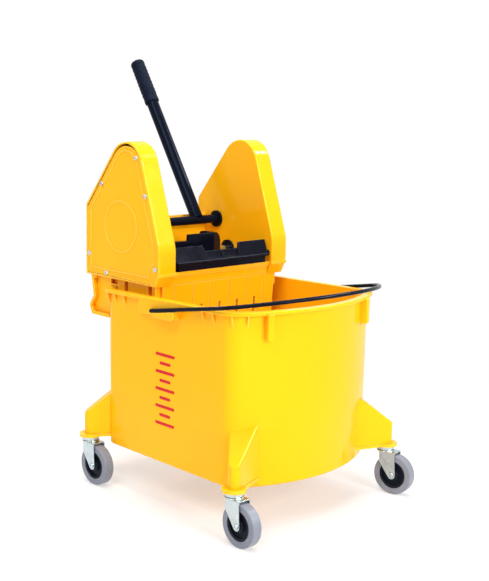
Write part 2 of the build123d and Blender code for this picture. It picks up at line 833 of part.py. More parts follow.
with BuildPart() as housing:
    add(ear_shell.part)
    mirror(ear_shell.part, about=Plane.YZ)
    extrude(polygon(yz(-basket_half), basket_outer), amount=2 * basket_half)
    extrude(
        polygon(yz(shell - basket_half), basket_inner),
        amount=2 * (basket_half - shell),
        mode=Mode.SUBTRACT,
    )
    block((-wall_face_x, wall_face_x), (basket_front_y, basket_inner_front_y), (ear_base_z, lip_z))
    block((-wall_face_x, wall_face_x), (band_front_y, basket_inner_front_y), (lip_z - band_height, lip_z))
    block(
        (-ear_inner_x, ear_inner_x),
        (band_front_y - lip_bead, band_front_y),
        (lip_z - lip_bead_height, lip_z),
    )
    for ear_x in ((-ear_outer_x, -ear_inner_x), (ear_inner_x, ear_outer_x)):
        block(
            ear_x,
            (ear_front_y - ear_bead, ear_front_y - ear_bead + ear_bead_depth),
            (lip_z - lip_bead_height, lip_z),
        )
    block(
        (-skirt_inner_half, skirt_inner_half),
        (basket_rear_y - shell, back_y),
        (saddle_z, saddle_z + shell),
    )
    block((-wall_face_x, wall_face_x), (back_y - shell, back_y), (saddle_z, back_top_z))
    extrude(skirt_outline, amount=2 * skirt_half)
    for x in (-skirt_inner_half, skirt_inner_half - shell):
        extrude(polygon(yz(x), skirt_end), amount=shell)
    with BuildSketch(front_wall):
        with Locations((0, drain_top_z - drain_height / 2 - ear_base_z)):
            with GridLocations(drain_pitch, drain_pitch, drain_count, 1):
                SlotOverall(drain_height, drain_width, rotation=90)
    extrude(amount=-(shell + cut_over), mode=Mode.SUBTRACT)
    with BuildSketch(front_wall):
        with Locations((0, groove_top_z - groove_height / 2 - ear_base_z)):
            with GridLocations(drain_pitch, drain_pitch, drain_count + 1, 1):
                Rectangle(groove_width, groove_height)
        with Locations((0, groove_top_z - ear_base_z)):
            Rectangle(drain_count * drain_pitch + groove_width, groove_width)
    extrude(amount=-groove_depth, mode=Mode.SUBTRACT)
    with BuildSketch(Plane.XY.offset(basket_base_z)):
        with Locations((0, (basket_front_base_y + basket_rear_base_y) / 2)):
            with GridLocations(floor_hole_pitch, floor_hole_pitch, floor_hole_columns, floor_hole_rows):
                Circle(floor_hole / 2)
    extrude(amount=shell, mode=Mode.SUBTRACT)
    for centre, radius in (
        (lever_axis, lever_shaft_radius + bush_sleeve),
        (press_axis, press_shaft_radius + bush_sleeve),
    ):
        bar_x(centre, radius, -wall_face_x, -ear_inner_x, Mode.SUBTRACT)
        bar_x(centre, radius, ear_inner_x, wall_face_x, Mode.SUBTRACT)
    for x in (-wall_face_x, wall_face_x - idler_pin_seat):
        bar_x(idler_at, idler_pin_radius, x, x + idler_pin_seat, Mode.SUBTRACT)
    extrude(
        discs(Plane.XZ.offset(-basket_inner_front_y), guard_screws_xz, screw_radius),
        amount=shell,
        mode=Mode.SUBTRACT,
    )

cover_notch = discs(yz(cover_face_x), [cover_notch_at], cover_notch_radius)
cover_panel = ear_plan(cover_face_x, -shell - cover_frame_inset) - cover_notch
cover_panel_inner = offset(cover_panel, amount=-cover_ridge, kind=Kind.INTERSECTION)

cover_plan = ear_plan(cover_x, -shell - cover_gap)

with BuildPart() as right_cover:
    extrude(cover_plan & Pos(Z=-cover_top_gap) * cover_plan, amount=cover_thick)
    extrude(cover_panel - cover_panel_inner, amount=cover_ridge_rise)
    with BuildSketch(yz(cover_face_x)):
        with Locations(idler_at):
            Circle(cover_disc_radius)
            Circle(cover_disc_radius - cover_ridge, mode=Mode.SUBTRACT)
    extrude(amount=cover_ridge_rise)
    extrude(
        discs(yz(cover_face_x), cover_screws_yz, screw_seat),
        amount=cover_ridge_rise,
        mode=Mode.SUBTRACT,
    )
    extrude(discs(yz(cover_x), cover_screws_yz, screw_radius), amount=cover_thick, mode=Mode.SUBTRACT)

with BuildPart() as right_screws:
    extrude(
        discs(yz(cover_x - screw_bite + screw_end_gap), cover_screws_yz, screw_radius),
        amount=screw_bite - screw_end_gap + cover_thick,
    )
    extrude(discs(yz(cover_face_x), cover_screws_yz, screw_head_radius), amount=screw_head)
    fillet(right_screws.faces().group_by(Axis.X)[-1].edges(), screw_head / 2)
    with BuildSketch(yz(cover_face_x + screw_head - screw_slot)):
        with Locations(*cover_screws_yz):
            Rectangle(screw_slot_width, screw_slot_length)
            Rectangle(screw_slot_length, screw_slot_width)
    extrude(amount=screw_slot, mode=Mode.SUBTRACT)


def flanged_bush(axis, shaft_radius, flange_radius):
    """Return the right-hand flanged bush of a shaft."""
    with BuildPart() as sleeve:
        bar_x(axis, flange_radius, ear_inner_x - bush_flange, ear_inner_x)
        bar_x(axis, shaft_radius + bush_sleeve, ear_inner_x, wall_face_x + bush_past_wall)
        bar_x(
            axis,
            shaft_radius + running_fit,
            ear_inner_x - bush_flange,
            wall_face_x + bush_past_wall,
            Mode.SUBTRACT,
        )
    return sleeve.part


lever_bush = flanged_bush(lever_axis, lever_shaft_radius, lever_bush_flange_radius)
press_bush = flanged_bush(press_axis, press_shaft_radius, press_bush_flange_radius)

with BuildPart() as idler_pin:
    bar_x(
        idler_at,
        idler_pin_radius,
        wall_face_x - idler_pin_seat,
        gears_end_x + clip_thick + idler_pin_past_clip,
    )

with BuildPart() as idler_clip:
    with BuildSketch(yz(gears_end_x + thrust_gap)):
        with Locations(idler_at):
            Circle(idler_pin_radius + clip_width)
            Circle(idler_pin_radius, mode=Mode.SUBTRACT)
    extrude(amount=clip_thick)

# Front guard, a comb on the lip

guard_half = ear_inner_x - guard_side_gap
guard_rear_y = guard_front_y + guard_depth
guard_base_z = lip_z + guard_lip_gap
guard_ledge_z = lip_z + guard_ledge_rise
guard_flange_y = basket_inner_front_y + guard_flange
guard_screw_seat = Plane.XZ.offset(-guard_flange_y)
guard_comb_plane = Plane(
    origin=(0, guard_front_y, guard_ledge_z),
    x_dir=(1, 0, 0),
    z_dir=(0, -cos(radians(guard_lean)), sin(radians(guard_lean))),
)
guard_pocket_top = guard_low - guard_pocket_margin
guard_pocket_end = guard_notch_half - guard_notch_run - guard_pocket_margin
guard_pocket_length = guard_pocket_end - guard_middle_bar / 2
guard_pocket_middle = (guard_pocket_end + guard_middle_bar / 2) / 2

with BuildPart() as guard:
    block(
        (guard_foot_inset - guard_half, guard_half - guard_foot_inset),
        (guard_front_y, guard_rear_y),
        (guard_base_z, guard_ledge_z),
    )
    block(
        (-guard_half, guard_half),
        (guard_front_y - guard_ledge_proud, guard_rear_y),
        (guard_ledge_z - guard_ledge, guard_ledge_z),
    )
    fillet(guard.faces().sort_by(Axis.Y)[0].edges(), guard_ledge_round)
    with BuildSketch(guard_comb_plane) as comb:
        with BuildLine():
            Polyline(
                (-guard_half, -guard_ledge / 2),
                (-guard_half, guard_tall),
                (-guard_notch_half, guard_tall),
                (-guard_notch_half + guard_notch_run, guard_low),
                (guard_notch_half - guard_notch_run, guard_low),
                (guard_notch_half, guard_tall),
                (guard_half, guard_tall),
                (guard_half, -guard_ledge / 2),
                close=True,
            )
        make_face()
        fillet(comb.vertices().group_by(Axis.Y)[-1], guard_top_round)
    extrude(amount=-guard_comb_thick)
    with BuildSketch(guard_comb_plane):
        for side in (-1, 1):
            with Locations((side * guard_pocket_middle, (guard_pocket_foot + guard_pocket_top) / 2)):
                Rectangle(guard_pocket_length, guard_pocket_top - guard_pocket_foot)
    extrude(amount=-guard_pocket, mode=Mode.SUBTRACT)
    for x_from, x_to in (
        (-guard_half - guard_tab_reach, cut_over - guard_half),
        (guard_half - cut_over, guard_half + guard_tab_reach),
    ):
        bar_x((guard_front_y + guard_tab_radius, guard_ledge_z), guard_tab_radius, x_from, x_to)
    block(
        (guard_flange_inset - guard_half, guard_half - guard_flange_inset),
        (basket_inner_front_y + guard_flange_gap, guard_flange_y),
        (lip_z - guard_flange_drop, guard_base_z + guard_web),
    )
    block(
        (guard_flange_inset - guard_half, guard_half - guard_flange_inset),
        (guard_rear_y - cut_over, guard_flange_y),
        (guard_base_z, guard_base_z + guard_web),
    )
    extrude(
        discs(guard_screw_seat, guard_screws_xz, screw_radius),
        amount=guard_flange,
        mode=Mode.SUBTRACT,
    )

with BuildPart() as guard_screws:
    extrude(discs(guard_screw_seat, guard_screws_xz, screw_radius), amount=guard_flange + shell)
    extrude(discs(guard_screw_seat, guard_screws_xz, guard_screw_head_radius), amount=-guard_screw_head)

# Gears

def involute_angle(base, radius):
    """Return the involute's polar angle in radians where it reaches a radius."""
    ratio = sqrt(max(radius**2 - base**2, 0.0)) / base
    return ratio - atan2(ratio, 1)


def polar(centre, radius, angle):
    """Return the sketch point at a radius and an angle in radians from a centre."""
    return (centre[0] + radius * cos(angle), centre[1] + radius * sin(angle))


def gear_sketch(plane, centre, teeth, first_tooth, count):
    """Return a spur gear outline, or a toothed sector when count is below teeth."""
    pitch = gear_module * teeth / 2
    base = pitch * cos(radians(gear_pressure_angle))
    root = pitch - gear_root_factor * gear_module
    tip = pitch + gear_module - gear_tip_cut
    half_tooth = pi / (2 * teeth) - gear_backlash / (2 * pitch) + involute_angle(base, pitch)
    start = max(base, root)
    radii = [start + (tip - start) * step / gear_flank_steps for step in range(gear_flank_steps + 1)]
    sweeps = [half_tooth - involute_angle(base, radius) for radius in radii]
    with BuildSketch(plane) as gear:
        with BuildLine():
            feet = []
            for number in range(count):
                middle = radians(first_tooth + number * 360 / teeth)
                rising = [polar(centre, radius, middle - sweep) for radius, sweep in zip(radii, sweeps)]
                falling = [polar(centre, radius, middle + sweep) for radius, sweep in zip(radii, sweeps)]
                foot_from = polar(centre, root, middle - half_tooth)
                foot_to = polar(centre, root, middle + half_tooth)
                Line(foot_from, rising[0])
                Spline(*rising)
                Line(rising[-1], falling[-1])
                Spline(*reversed(falling))
                Line(falling[0], foot_to)
                feet.append((foot_from, foot_to))
            for number in range(count - 1):
                Line(feet[number][1], feet[number + 1][0])
            if count == teeth:
                Line(feet[-1][1], feet[0][0])
            else:
                Polyline(feet[-1][1], centre, feet[0][0])
        make_face()
    return gear.sketch


to_pinion = degrees(atan2(lever_axis[1] - idler_at[1], lever_axis[0] - idler_at[0]))
to_sector = degrees(atan2(press_axis[1] - idler_at[1], press_axis[0] - idler_at[0]))
idler_step = 360 / idler_teeth
sector_step = 360 / sector_teeth
idler_first = to_pinion + idler_step / 2
pinion_first = to_pinion + 180
tooth_past_mesh = (idler_first - to_sector + idler_step / 2) % idler_step - idler_step / 2
sector_first = to_sector + 180 - tooth_past_mesh * idler_teeth / sector_teeth + sector_step / 2
sector_first -= sector_step * int((sector_first - sector_from) / sector_step)
hub_x = wall_face_x + bush_past_wall + thrust_gap

with BuildPart() as right_pinion:
    extrude(
        gear_sketch(yz(pinion_x), lever_axis, pinion_teeth, pinion_first, pinion_teeth),
        amount=gear_width,
    )
    bar_x(lever_axis, lever_shaft_radius + gear_hub, hub_x, pinion_x)
    bar_x(lever_axis, lever_shaft_radius, hub_x, pinion_x + gear_width, Mode.SUBTRACT)

with BuildPart() as right_idler:
    extrude(
        gear_sketch(yz(pinion_x), idler_at, idler_teeth, idler_first, idler_teeth),
        amount=gears_end_x - pinion_x,
    )
    bar_x(idler_at, idler_pin_radius + gear_hub, wall_face_x + thrust_gap, pinion_x)
    bar_x(idler_at, idler_pin_radius + running_fit, wall_face_x + thrust_gap, gears_end_x, Mode.SUBTRACT)

with BuildPart() as right_sector:
    extrude(
        gear_sketch(yz(sector_x), press_axis, sector_teeth, sector_first, sector_tooth_count),
        amount=gear_width,
    )
    bar_x(press_axis, press_shaft_radius + gear_hub, hub_x, gears_end_x)
    bar_x(press_axis, press_shaft_radius, hub_x, gears_end_x, Mode.SUBTRACT)

# Lever

lever_plane = Plane(
    origin=(lever_x, lever_axis_y, lever_axis_z),
    x_dir=(1, 0, 0),
    z_dir=(0, sin(radians(lever_lean)), cos(radians(lever_lean))),
)
lever_tube_bore = lever_tube_radius - lever_tube_wall
shaft_end_x = pinion_x + gear_width + washer_thick
grip_start = lever_length - grip_length


def lever_rod(reach_from, reach_to, radius, mode=Mode.ADD):
    """Put a round rod along the lever into the part."""
    start = lever_plane.offset(reach_from)
    extrude(discs(start, [(0, 0)], radius), amount=reach_to - reach_from, mode=mode)


with BuildPart() as lever_shaft:
    bar_x(lever_axis, lever_shaft_radius, -shaft_end_x, shaft_end_x)
    lever_rod(-lever_stud_bite, 2 * lever_shaft_radius, lever_stud_radius, Mode.SUBTRACT)

with BuildPart() as shaft_washer:
    bar_x(lever_axis, washer_radius, pinion_x + gear_width, shaft_end_x)
    bar_x(lever_axis, lever_shaft_radius, pinion_x + gear_width, shaft_end_x, Mode.SUBTRACT)

with BuildPart() as lever_tube:
    lever_rod(lever_tube_start, lever_length - grip_cap, lever_tube_radius)
    lever_rod(lever_tube_start, lever_length - grip_cap, lever_tube_bore, Mode.SUBTRACT)
    bar_x(
        lever_axis,
        lever_shaft_radius,
        lever_x - 2 * lever_tube_radius,
        lever_x + 2 * lever_tube_radius,
        Mode.SUBTRACT,
    )

with BuildPart() as lever_plug:
    lever_rod(lever_plug_start, lever_plug_start + lever_plug_length, lever_tube_bore)
    lever_rod(lever_plug_start, lever_plug_start + lever_plug_length, lever_stud_radius, Mode.SUBTRACT)

with BuildPart() as lever_stud:
    lever_rod(-lever_stud_bite, lever_plug_start + lever_plug_length, lever_stud_radius)

with BuildPart() as grip:
    extrude(
        discs(lever_plane.offset(grip_start), [(0, 0)], grip_radius),
        amount=grip_length,
        taper=grip_taper,
    )
    grip_ends = grip.edges().filter_by(GeomType.CIRCLE).sort_by(Axis.Z)
    fillet(grip_ends[-1], grip_round)
    fillet(grip_ends[0], grip_mouth_round)
    lever_rod(grip_start, lever_length - grip_cap, lever_tube_radius, Mode.SUBTRACT)

# Press

press_hub_radius = press_shaft_radius + press_hub_wall
press_hub_top_z = press_axis_z + press_hub_radius


def press_pin_posts(mode=Mode.ADD):
    """Put the upright pins through the press shaft into the part."""
    for x in press_pin_xs:
        low_z = press_axis_z - press_hub_radius
        high_z = press_axis_z + press_hub_radius
        post(x, press_axis_y, low_z, high_z, press_pin_radius, mode)


with BuildPart() as press_shaft:
    bar_x(press_axis, press_shaft_radius, -gears_end_x, gears_end_x)
    press_pin_posts(Mode.SUBTRACT)

press_side = [
    (press_front_y, press_base_z),
    (press_front_y, press_top_z),
    (press_rear_y, press_top_z),
    (press_axis_y, press_axis_z + press_hub_radius),
    (press_axis_y, press_axis_z),
]
press_turned = [
    (press_turn_x, press_front_y),
    (press_block_right_x + cut_over, press_front_y - cut_over),
    (press_block_right_x + cut_over, press_front_y + press_turn_back),
]

with BuildPart() as press_body:
    with BuildSketch(Plane.XZ.offset(-press_front_y)) as press_face:
        with BuildLine():
            Polyline(
                (press_shoulder_left_x, press_axis_z),
                (press_shoulder_left_x, press_shoulder_z),
                (press_block_left_x, press_shoulder_z),
                (press_block_left_x, press_top_z),
                (press_block_right_x, press_top_z),
                (press_block_right_x, press_axis_z),
                close=True,
            )
        make_face()
        fillet(press_face.vertices().group_by(Axis.Y)[-1].sort_by(Axis.X)[-1], press_top_round)
    extrude(amount=press_front_y - press_axis_y)
    extrude(
        polygon(yz(press_shoulder_left_x), press_side),
        amount=press_block_right_x - press_shoulder_left_x,
        mode=Mode.INTERSECT,
    )
    extrude(
        polygon(Plane.XY.offset(press_axis_z), press_turned),
        amount=press_top_z - press_axis_z,
        mode=Mode.SUBTRACT,
    )

    block(
        (press_shoulder_left_x - cut_over, press_solid_left_x),
        (press_front_y + press_plate_thick, press_axis_y + press_hub_radius),
        (press_hub_top_z + press_web_rise, press_top_z + cut_over),
        Mode.SUBTRACT,
    )

with BuildPart() as press_plate:
    bar_x(press_axis, press_hub_radius, press_hub_left_x, press_hub_right_x)
    add(press_body.part)
    bar_x(press_axis, press_shaft_radius, press_hub_left_x, press_hub_right_x, Mode.SUBTRACT)
    press_pin_posts(Mode.SUBTRACT)

with BuildPart() as press_pins:
    press_pin_posts()

# Names and files

pieces = {
    "bucket_tub": tub.part,
    "caster_stems": caster_stems.part,
    "bail_wire": bail.part,
    "wringer_housing": housing.part,
    "right_ear_cover": right_cover.part,
    "left_ear_cover": left_of(right_cover.part),
    "right_cover_screws": right_screws.part,
    "left_cover_screws": left_of(right_screws.part),
    "lever_shaft_bushes": both_sides(lever_bush),
    "press_shaft_bushes": both_sides(press_bush),
    "idler_pins": both_sides(idler_pin.part),
    "idler_clips": both_sides(idler_clip.part),
    "front_guard": guard.part,
    "front_guard_screws": guard_screws.part,
    "lever_shaft": lever_shaft.part,
    "lever_tube": lever_tube.part,
    "lever_plug": lever_plug.part,
    "lever_stud": lever_stud.part,
    "lever_grip": grip.part,
    "right_drive_pinion": right_pinion.part,
    "left_drive_pinion": left_of(right_pinion.part),
    "lever_shaft_washers": both_sides(shaft_washer.part),
    "right_idler_gear": right_idler.part,
    "left_idler_gear": left_of(right_idler.part),
    "press_shaft": press_shaft.part,
    "press_plate": press_plate.part,
    "press_pins": press_pins.part,
    "right_sector_gear": right_sector.part,
    "left_sector_gear": left_of(right_sector.part),
}

for corner, angle in swivel_angles.items():
    side_x = -1 if corner.endswith("left") else 1
    side_y = -1 if corner.startswith("front") else 1
    place = Location((side_x * caster_x, side_y * caster_y, 0), (0, 0, angle))
    pieces[corner + "_fork"] = fork.part.moved(place)
    pieces[corner + "_axle_bolt"] = axle.part.moved(place)
    pieces[corner + "_axle_nut"] = axle_nut_ring.part.moved(place)
    pieces[corner + "_wheel_bush"] = bush.part.moved(place)
    pieces[corner + "_wheel"] = wheel.part.moved(place)
    pieces[corner + "_tyre"] = tyre.part.moved(place * axle_middle)

os.makedirs("parts", exist_ok=True)
for name, piece in pieces.items():
    piece.label = name
    export_step(piece, f"parts/{name}.step")
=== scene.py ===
import json
import logging
import math
from collections.abc import Callable, Sequence
from dataclasses import dataclass
from enum import Enum

import bmesh
import bpy
from mathutils import Matrix, Vector


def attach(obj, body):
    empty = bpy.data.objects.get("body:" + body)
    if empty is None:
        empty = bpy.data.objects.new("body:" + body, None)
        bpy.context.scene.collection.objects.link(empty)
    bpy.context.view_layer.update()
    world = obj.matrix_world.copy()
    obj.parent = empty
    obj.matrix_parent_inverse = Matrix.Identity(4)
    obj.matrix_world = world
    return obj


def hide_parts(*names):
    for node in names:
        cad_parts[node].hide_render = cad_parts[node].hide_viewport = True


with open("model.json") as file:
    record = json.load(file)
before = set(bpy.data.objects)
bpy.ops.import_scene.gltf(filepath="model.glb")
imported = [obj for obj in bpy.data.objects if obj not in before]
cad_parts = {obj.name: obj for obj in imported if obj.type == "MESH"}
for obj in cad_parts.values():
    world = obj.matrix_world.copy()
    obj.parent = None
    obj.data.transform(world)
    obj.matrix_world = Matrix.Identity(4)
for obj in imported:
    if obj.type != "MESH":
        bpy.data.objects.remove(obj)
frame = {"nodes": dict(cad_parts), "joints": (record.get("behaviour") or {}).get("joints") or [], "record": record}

log = logging.getLogger("mop_bucket")
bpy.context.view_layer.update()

Colour = tuple[float, float, float]
Point = tuple[float, float, float]
Ring = tuple[float, float]
Span = tuple[float, float]
Socket = bpy.types.NodeSocket

WHOLE: Span = (0.0, 1.0)
MIDDLE: Span = (0.35, 0.65)
BROAD: Span = (0.3, 0.7)
MIX_FACTOR, MIX_UNDER, MIX_OVER, MIX_RESULT = 0, 6, 7, 2


def rgba(colour: Colour) -> tuple[float, float, float, float]:
    """Return a colour with full opacity."""
    return (*colour, 1.0)


def joint_place(name: str) -> Vector:
    """Return the point that a joint of the frame turns about."""
    return next(Vector(joint["pos_m"]) for joint in frame["joints"] if joint["name"] == name)


@dataclass(frozen=True)
class Grain:
    """One layer of noise: features per metre, octaves, the span that is used, and a stretch by axis."""

    scale: float
    detail: float
    span: Span = BROAD
    stretch: Point = (1.0, 1.0, 1.0)


class ShaderBench:
    """A new material and the few node moves that its finish needs."""

    edge_samples = 4
    shelter_samples = 8

    def __init__(self, name: str) -> None:
        """Start a material with one principled shader.

        Args:
            name: The material's name.
        """
        self.material = bpy.data.materials.new(name)
        self.material.use_nodes = True
        tree = self.material.node_tree
        tree.nodes.clear()
        self.nodes = tree.nodes
        self.links = tree.links
        output = self.nodes.new("ShaderNodeOutputMaterial")
        self.shader = self.nodes.new("ShaderNodeBsdfPrincipled")
        self.links.new(self.shader.outputs["BSDF"], output.inputs["Surface"])
        self.coords = self.nodes.new("ShaderNodeTexCoord").outputs["Object"]

    def set(self, **values: float | tuple) -> None:
        """Write constants on the shader's own sockets, spaces as underscores."""
        for key, value in values.items():
            self.shader.inputs[key.replace("_", " ")].default_value = value

    def wire(self, source: Socket, socket: str) -> None:
        """Join an output to one of the shader's inputs."""
        self.links.new(source, self.shader.inputs[socket])

    def noise(self, grain: Grain) -> Socket:
        """Return a noise factor in object space.

        Args:
            grain: The noise's scale, octaves and stretch.

        Returns:
            The noise node's factor output.
        """
        mapping = self.nodes.new("ShaderNodeMapping")
        mapping.inputs["Scale"].default_value = grain.stretch
        self.links.new(self.coords, mapping.inputs["Vector"])
        node = self.nodes.new("ShaderNodeTexNoise")
        node.inputs["Scale"].default_value = grain.scale
        node.inputs["Detail"].default_value = grain.detail
        self.links.new(mapping.outputs["Vector"], node.inputs["Vector"])
        return node.outputs["Fac"]

    def mottle(self, grain: Grain, out: Span = WHOLE) -> Socket:
        """Return a noise whose used span is mapped to two values."""
        return self.spread(self.noise(grain), grain.span, out)

    def cells(self, scale: float) -> Socket:
        """Return a random shade for each crystal-like cell.

        Args:
            scale: Cells per metre.

        Returns:
            The cells' colour output.
        """
        node = self.nodes.new("ShaderNodeTexVoronoi")
        node.inputs["Scale"].default_value = scale
        self.links.new(self.coords, node.inputs["Vector"])
        return node.outputs["Color"]

    def spread(self, source: Socket, span: Span, out: Span) -> Socket:
        """Map a factor from one span to another, clamped.

        Args:
            source: The factor to map.
            span: Its low and high values.
            out: The values they become.

        Returns:
            The mapped factor.
        """
        node = self.nodes.new("ShaderNodeMapRange")
        node.inputs["From Min"].default_value, node.inputs["From Max"].default_value = span
        node.inputs["To Min"].default_value, node.inputs["To Max"].default_value = out
        self.links.new(source, node.inputs["Value"])
        return node.outputs["Result"]

    def hump(self, source: Socket, span: tuple[float, float, float], top: float) -> Socket:
        """Return a factor that rises to a top and falls back to nothing.

        Args:
            source: The factor to shape.
            span: Where it leaves nothing, stands at its top and is nothing again.
            top: Its value at the top.

        Returns:
            The shaped factor.
        """
        node = self.nodes.new("ShaderNodeValToRGB")
        stops = node.color_ramp.elements
        stops[0].position, stops[1].position = span[0], span[2]
        stops[1].color = rgba((0.0, 0.0, 0.0))
        stops.new(span[1]).color = rgba((top, top, top))
        self.links.new(source, node.inputs["Fac"])
        return node.outputs["Color"]

    def mix(self, factor: Socket, over: Colour) -> bpy.types.Node:
        """Start a colour mix that shows a plain colour where a factor is high.

        Args:
            factor: How far the plain colour shows.
            over: The plain colour.

        Returns:
            The mix node, with nothing under the plain colour yet.
        """
        node = self.nodes.new("ShaderNodeMix")
        node.data_type = "RGBA"
        self.links.new(factor, node.inputs[MIX_FACTOR])
        node.inputs[MIX_OVER].default_value = rgba(over)
        return node

    def blend(self, factor: Socket, first: Colour, second: Colour) -> Socket:
        """Return a colour that goes from one to another with a factor.

        Args:
            factor: How far the second colour shows.
            first: The colour at 0.
            second: The colour at 1.

        Returns:
            The blended colour.
        """
        node = self.mix(factor, second)
        node.inputs[MIX_UNDER].default_value = rgba(first)
        return node.outputs[MIX_RESULT]

    def layer(self, factor: Socket, under: Socket, over: Colour) -> Socket:
        """Lay a plain colour over another where a factor is high.

        Args:
            factor: How far the plain colour shows.
            under: The colour below.
            over: The plain colour.

        Returns:
            The layered colour.
        """
        node = self.mix(factor, over)
        self.links.new(under, node.inputs[MIX_UNDER])
        return node.outputs[MIX_RESULT]

    def soft_edges(self, radius: float) -> Socket:
        """Return a normal that rounds sharp edges.

        Args:
            radius: The round, in metres.

        Returns:
            The rounded normal.
        """
        node = self.nodes.new("ShaderNodeBevel")
        node.samples = self.edge_samples
        node.inputs["Radius"].default_value = radius
        return node.outputs["Normal"]

    def shelter(self, reach: float, inside: bool) -> Socket:
        """Return how open the piece's own shape is round a point.

        Args:
            reach: How far the shape is felt, in metres.
            inside: Feel into the solid, which finds its proud edges, and not out of it.

        Returns:
            A factor that is 1 on a plain face and less in a recess or on an edge.
        """
        node = self.nodes.new("ShaderNodeAmbientOcclusion")
        node.samples = self.shelter_samples
        node.inside = inside
        node.only_local = True
        node.inputs["Distance"].default_value = reach
        return node.outputs["AO"]

    def bump(self, height: Socket, depth: float, normal: Socket | None = None) -> Socket:
        """Return a normal raised by a height.

        Args:
            height: The height factor.
            depth: How deep the full factor is, in metres.
            normal: A normal to add to.

        Returns:
            The bumped normal.
        """
        node = self.nodes.new("ShaderNodeBump")
        node.inputs["Distance"].default_value = depth
        self.links.new(height, node.inputs["Height"])
        if normal is not None:
            self.links.new(normal, node.inputs["Normal"])
        return node.outputs["Normal"]


@dataclass(frozen=True)
class MouldedPlastic:
    """Injection-moulded plastic with flow marks, fine grain and scuffs, a painted highlight on proud edges and
    painted shade in recesses.
    """

    name: str
    body: Colour
    flow: Colour
    scuff: Colour
    # Painted highlight: the paler tint laid on proud edges.
    edge_highlight: Colour
    # Painted shade: the darker, redder tint laid in recesses.
    recess_shade: Colour
    roughness: Span
    gloss: float = 0.14
    sheen: Colour = (1.0, 1.0, 1.0)
    ior: float = 1.49
    flow_marks: Grain = Grain(7.0, 3.0, MIDDLE, (1.0, 1.0, 0.35))
    scuffs: Grain = Grain(210.0, 5.0, (0.68, 0.80), (0.25, 1.0, 1.0))
    scuff_share: float = 0.25
    # How far, over what openness and how strongly the painted recess shade is laid.
    recess_shade_reach: float = 0.040
    recess_shade_span: Span = (0.15, 0.60)
    recess_shade_share: float = 0.8
    # How far, over what openness and how strongly the painted edge highlight is laid.
    edge_highlight_reach: float = 0.0022
    edge_highlight_span: tuple[float, float, float] = (0.25, 0.50, 0.90)
    edge_highlight_share: float = 0.75
    haze: Grain = Grain(55.0, 3.0)
    edge: float = 0.0009
    waves: Grain = Grain(9.0, 1.0)
    wave_depth: float = 0.0003
    skin: Grain = Grain(1500.0, 2.0)
    skin_depth: float = 0.00001

    def make(self) -> bpy.types.Material:
        """Lay the flow marks and scuffs, paint shade into the recesses and a highlight on the edges, and raise the
        skin.

        Returns:
            The finished material.
        """
        bench = ShaderBench(self.name)
        tint = bench.blend(bench.mottle(self.flow_marks), self.body, self.flow)
        tint = bench.layer(bench.mottle(self.scuffs, (0.0, self.scuff_share)), tint, self.scuff)
        # Painted shade: recesses, found by how open the shape is, get a darker and redder tint.
        openness = bench.shelter(self.recess_shade_reach, inside=False)
        recess_shade_mask = bench.spread(openness, self.recess_shade_span, (self.recess_shade_share, 0.0))
        tint = bench.layer(recess_shade_mask, tint, self.recess_shade)
        # Painted highlight: proud edges, found by feeling into the solid, get a paler tint.
        proud = bench.hump(bench.shelter(self.edge_highlight_reach, inside=True), self.edge_highlight_span, self.edge_highlight_share)
        bench.wire(bench.layer(proud, tint, self.edge_highlight), "Base Color")
        bench.wire(bench.mottle(self.haze, self.roughness), "Roughness")
        normal = bench.bump(bench.noise(self.waves), self.wave_depth, bench.soft_edges(self.edge))
        bench.wire(bench.bump(bench.noise(self.skin), self.skin_depth, normal), "Normal")
        bench.set(IOR=self.ior, Specular_IOR_Level=self.gloss, Specular_Tint=rgba(self.sheen))
        return bench.material


@dataclass(frozen=True)
class PowderCoat:
    """Baked coating on steel, with its orange-peel surface and worn specks."""

    name: str
    body: Colour
    bloom: Colour
    chip: Colour
    roughness: Span
    gloss: float = 0.20
    sheen: Colour = (0.55, 0.72, 1.0)
    ior: float = 1.25
    clouds: Grain = Grain(30.0, 3.0, (0.35, 0.7))
    chips: Grain = Grain(420.0, 4.0, (0.74, 0.8))
    chip_share: float = 0.5
    haze: Grain = Grain(80.0, 2.0)
    edge: float = 0.0006
    peel: Grain = Grain(700.0, 1.0)
    peel_depth: float = 0.00012

    def make(self) -> bpy.types.Material:
        """Lay the bloom and the worn specks, and raise the peel.

        Returns:
            The finished material.
        """
        bench = ShaderBench(self.name)
        tint = bench.blend(bench.mottle(self.clouds), self.body, self.bloom)
        chips = bench.mottle(self.chips, (0.0, self.chip_share))
        bench.wire(bench.layer(chips, tint, self.chip), "Base Color")
        bench.wire(bench.mottle(self.haze, self.roughness), "Roughness")
        peel = bench.bump(bench.noise(self.peel), self.peel_depth, bench.soft_edges(self.edge))
        bench.wire(peel, "Normal")
        bench.set(IOR=self.ior, Specular_IOR_Level=self.gloss, Specular_Tint=rgba(self.sheen))
        return bench.material


@dataclass(frozen=True)
class PlatedSteel:
    """Bright plating with faint crystal patches and rolling streaks."""

    name: str
    pale: Colour
    dark: Colour
    roughness: Span
    crystals: float = 130.0
    crystal_span: Span = (0.1, 0.9)
    dull_patches: Grain = Grain(60.0, 4.0, (0.6, 0.8))
    dull_share: float = 0.5
    edge: float = 0.0005
    streaks: Grain = Grain(900.0, 2.0, BROAD, (1.0, 1.0, 0.06))
    streak_depth: float = 0.00002

    def make(self) -> bpy.types.Material:
        """Lay the crystal patches and the dull ones, and streak the surface.

        Returns:
            The finished material.
        """
        bench = ShaderBench(self.name)
        crystals = bench.spread(bench.cells(self.crystals), self.crystal_span, WHOLE)
        tint = bench.blend(crystals, self.pale, self.dark)
        dull = bench.mottle(self.dull_patches, (0.0, self.dull_share))
        bench.wire(bench.layer(dull, tint, self.dark), "Base Color")
        streaks = bench.noise(self.streaks)
        bench.wire(bench.spread(streaks, self.streaks.span, self.roughness), "Roughness")
        bench.wire(bench.bump(streaks, self.streak_depth, bench.soft_edges(self.edge)), "Normal")
        bench.set(Metallic=1.0)
        return bench.material


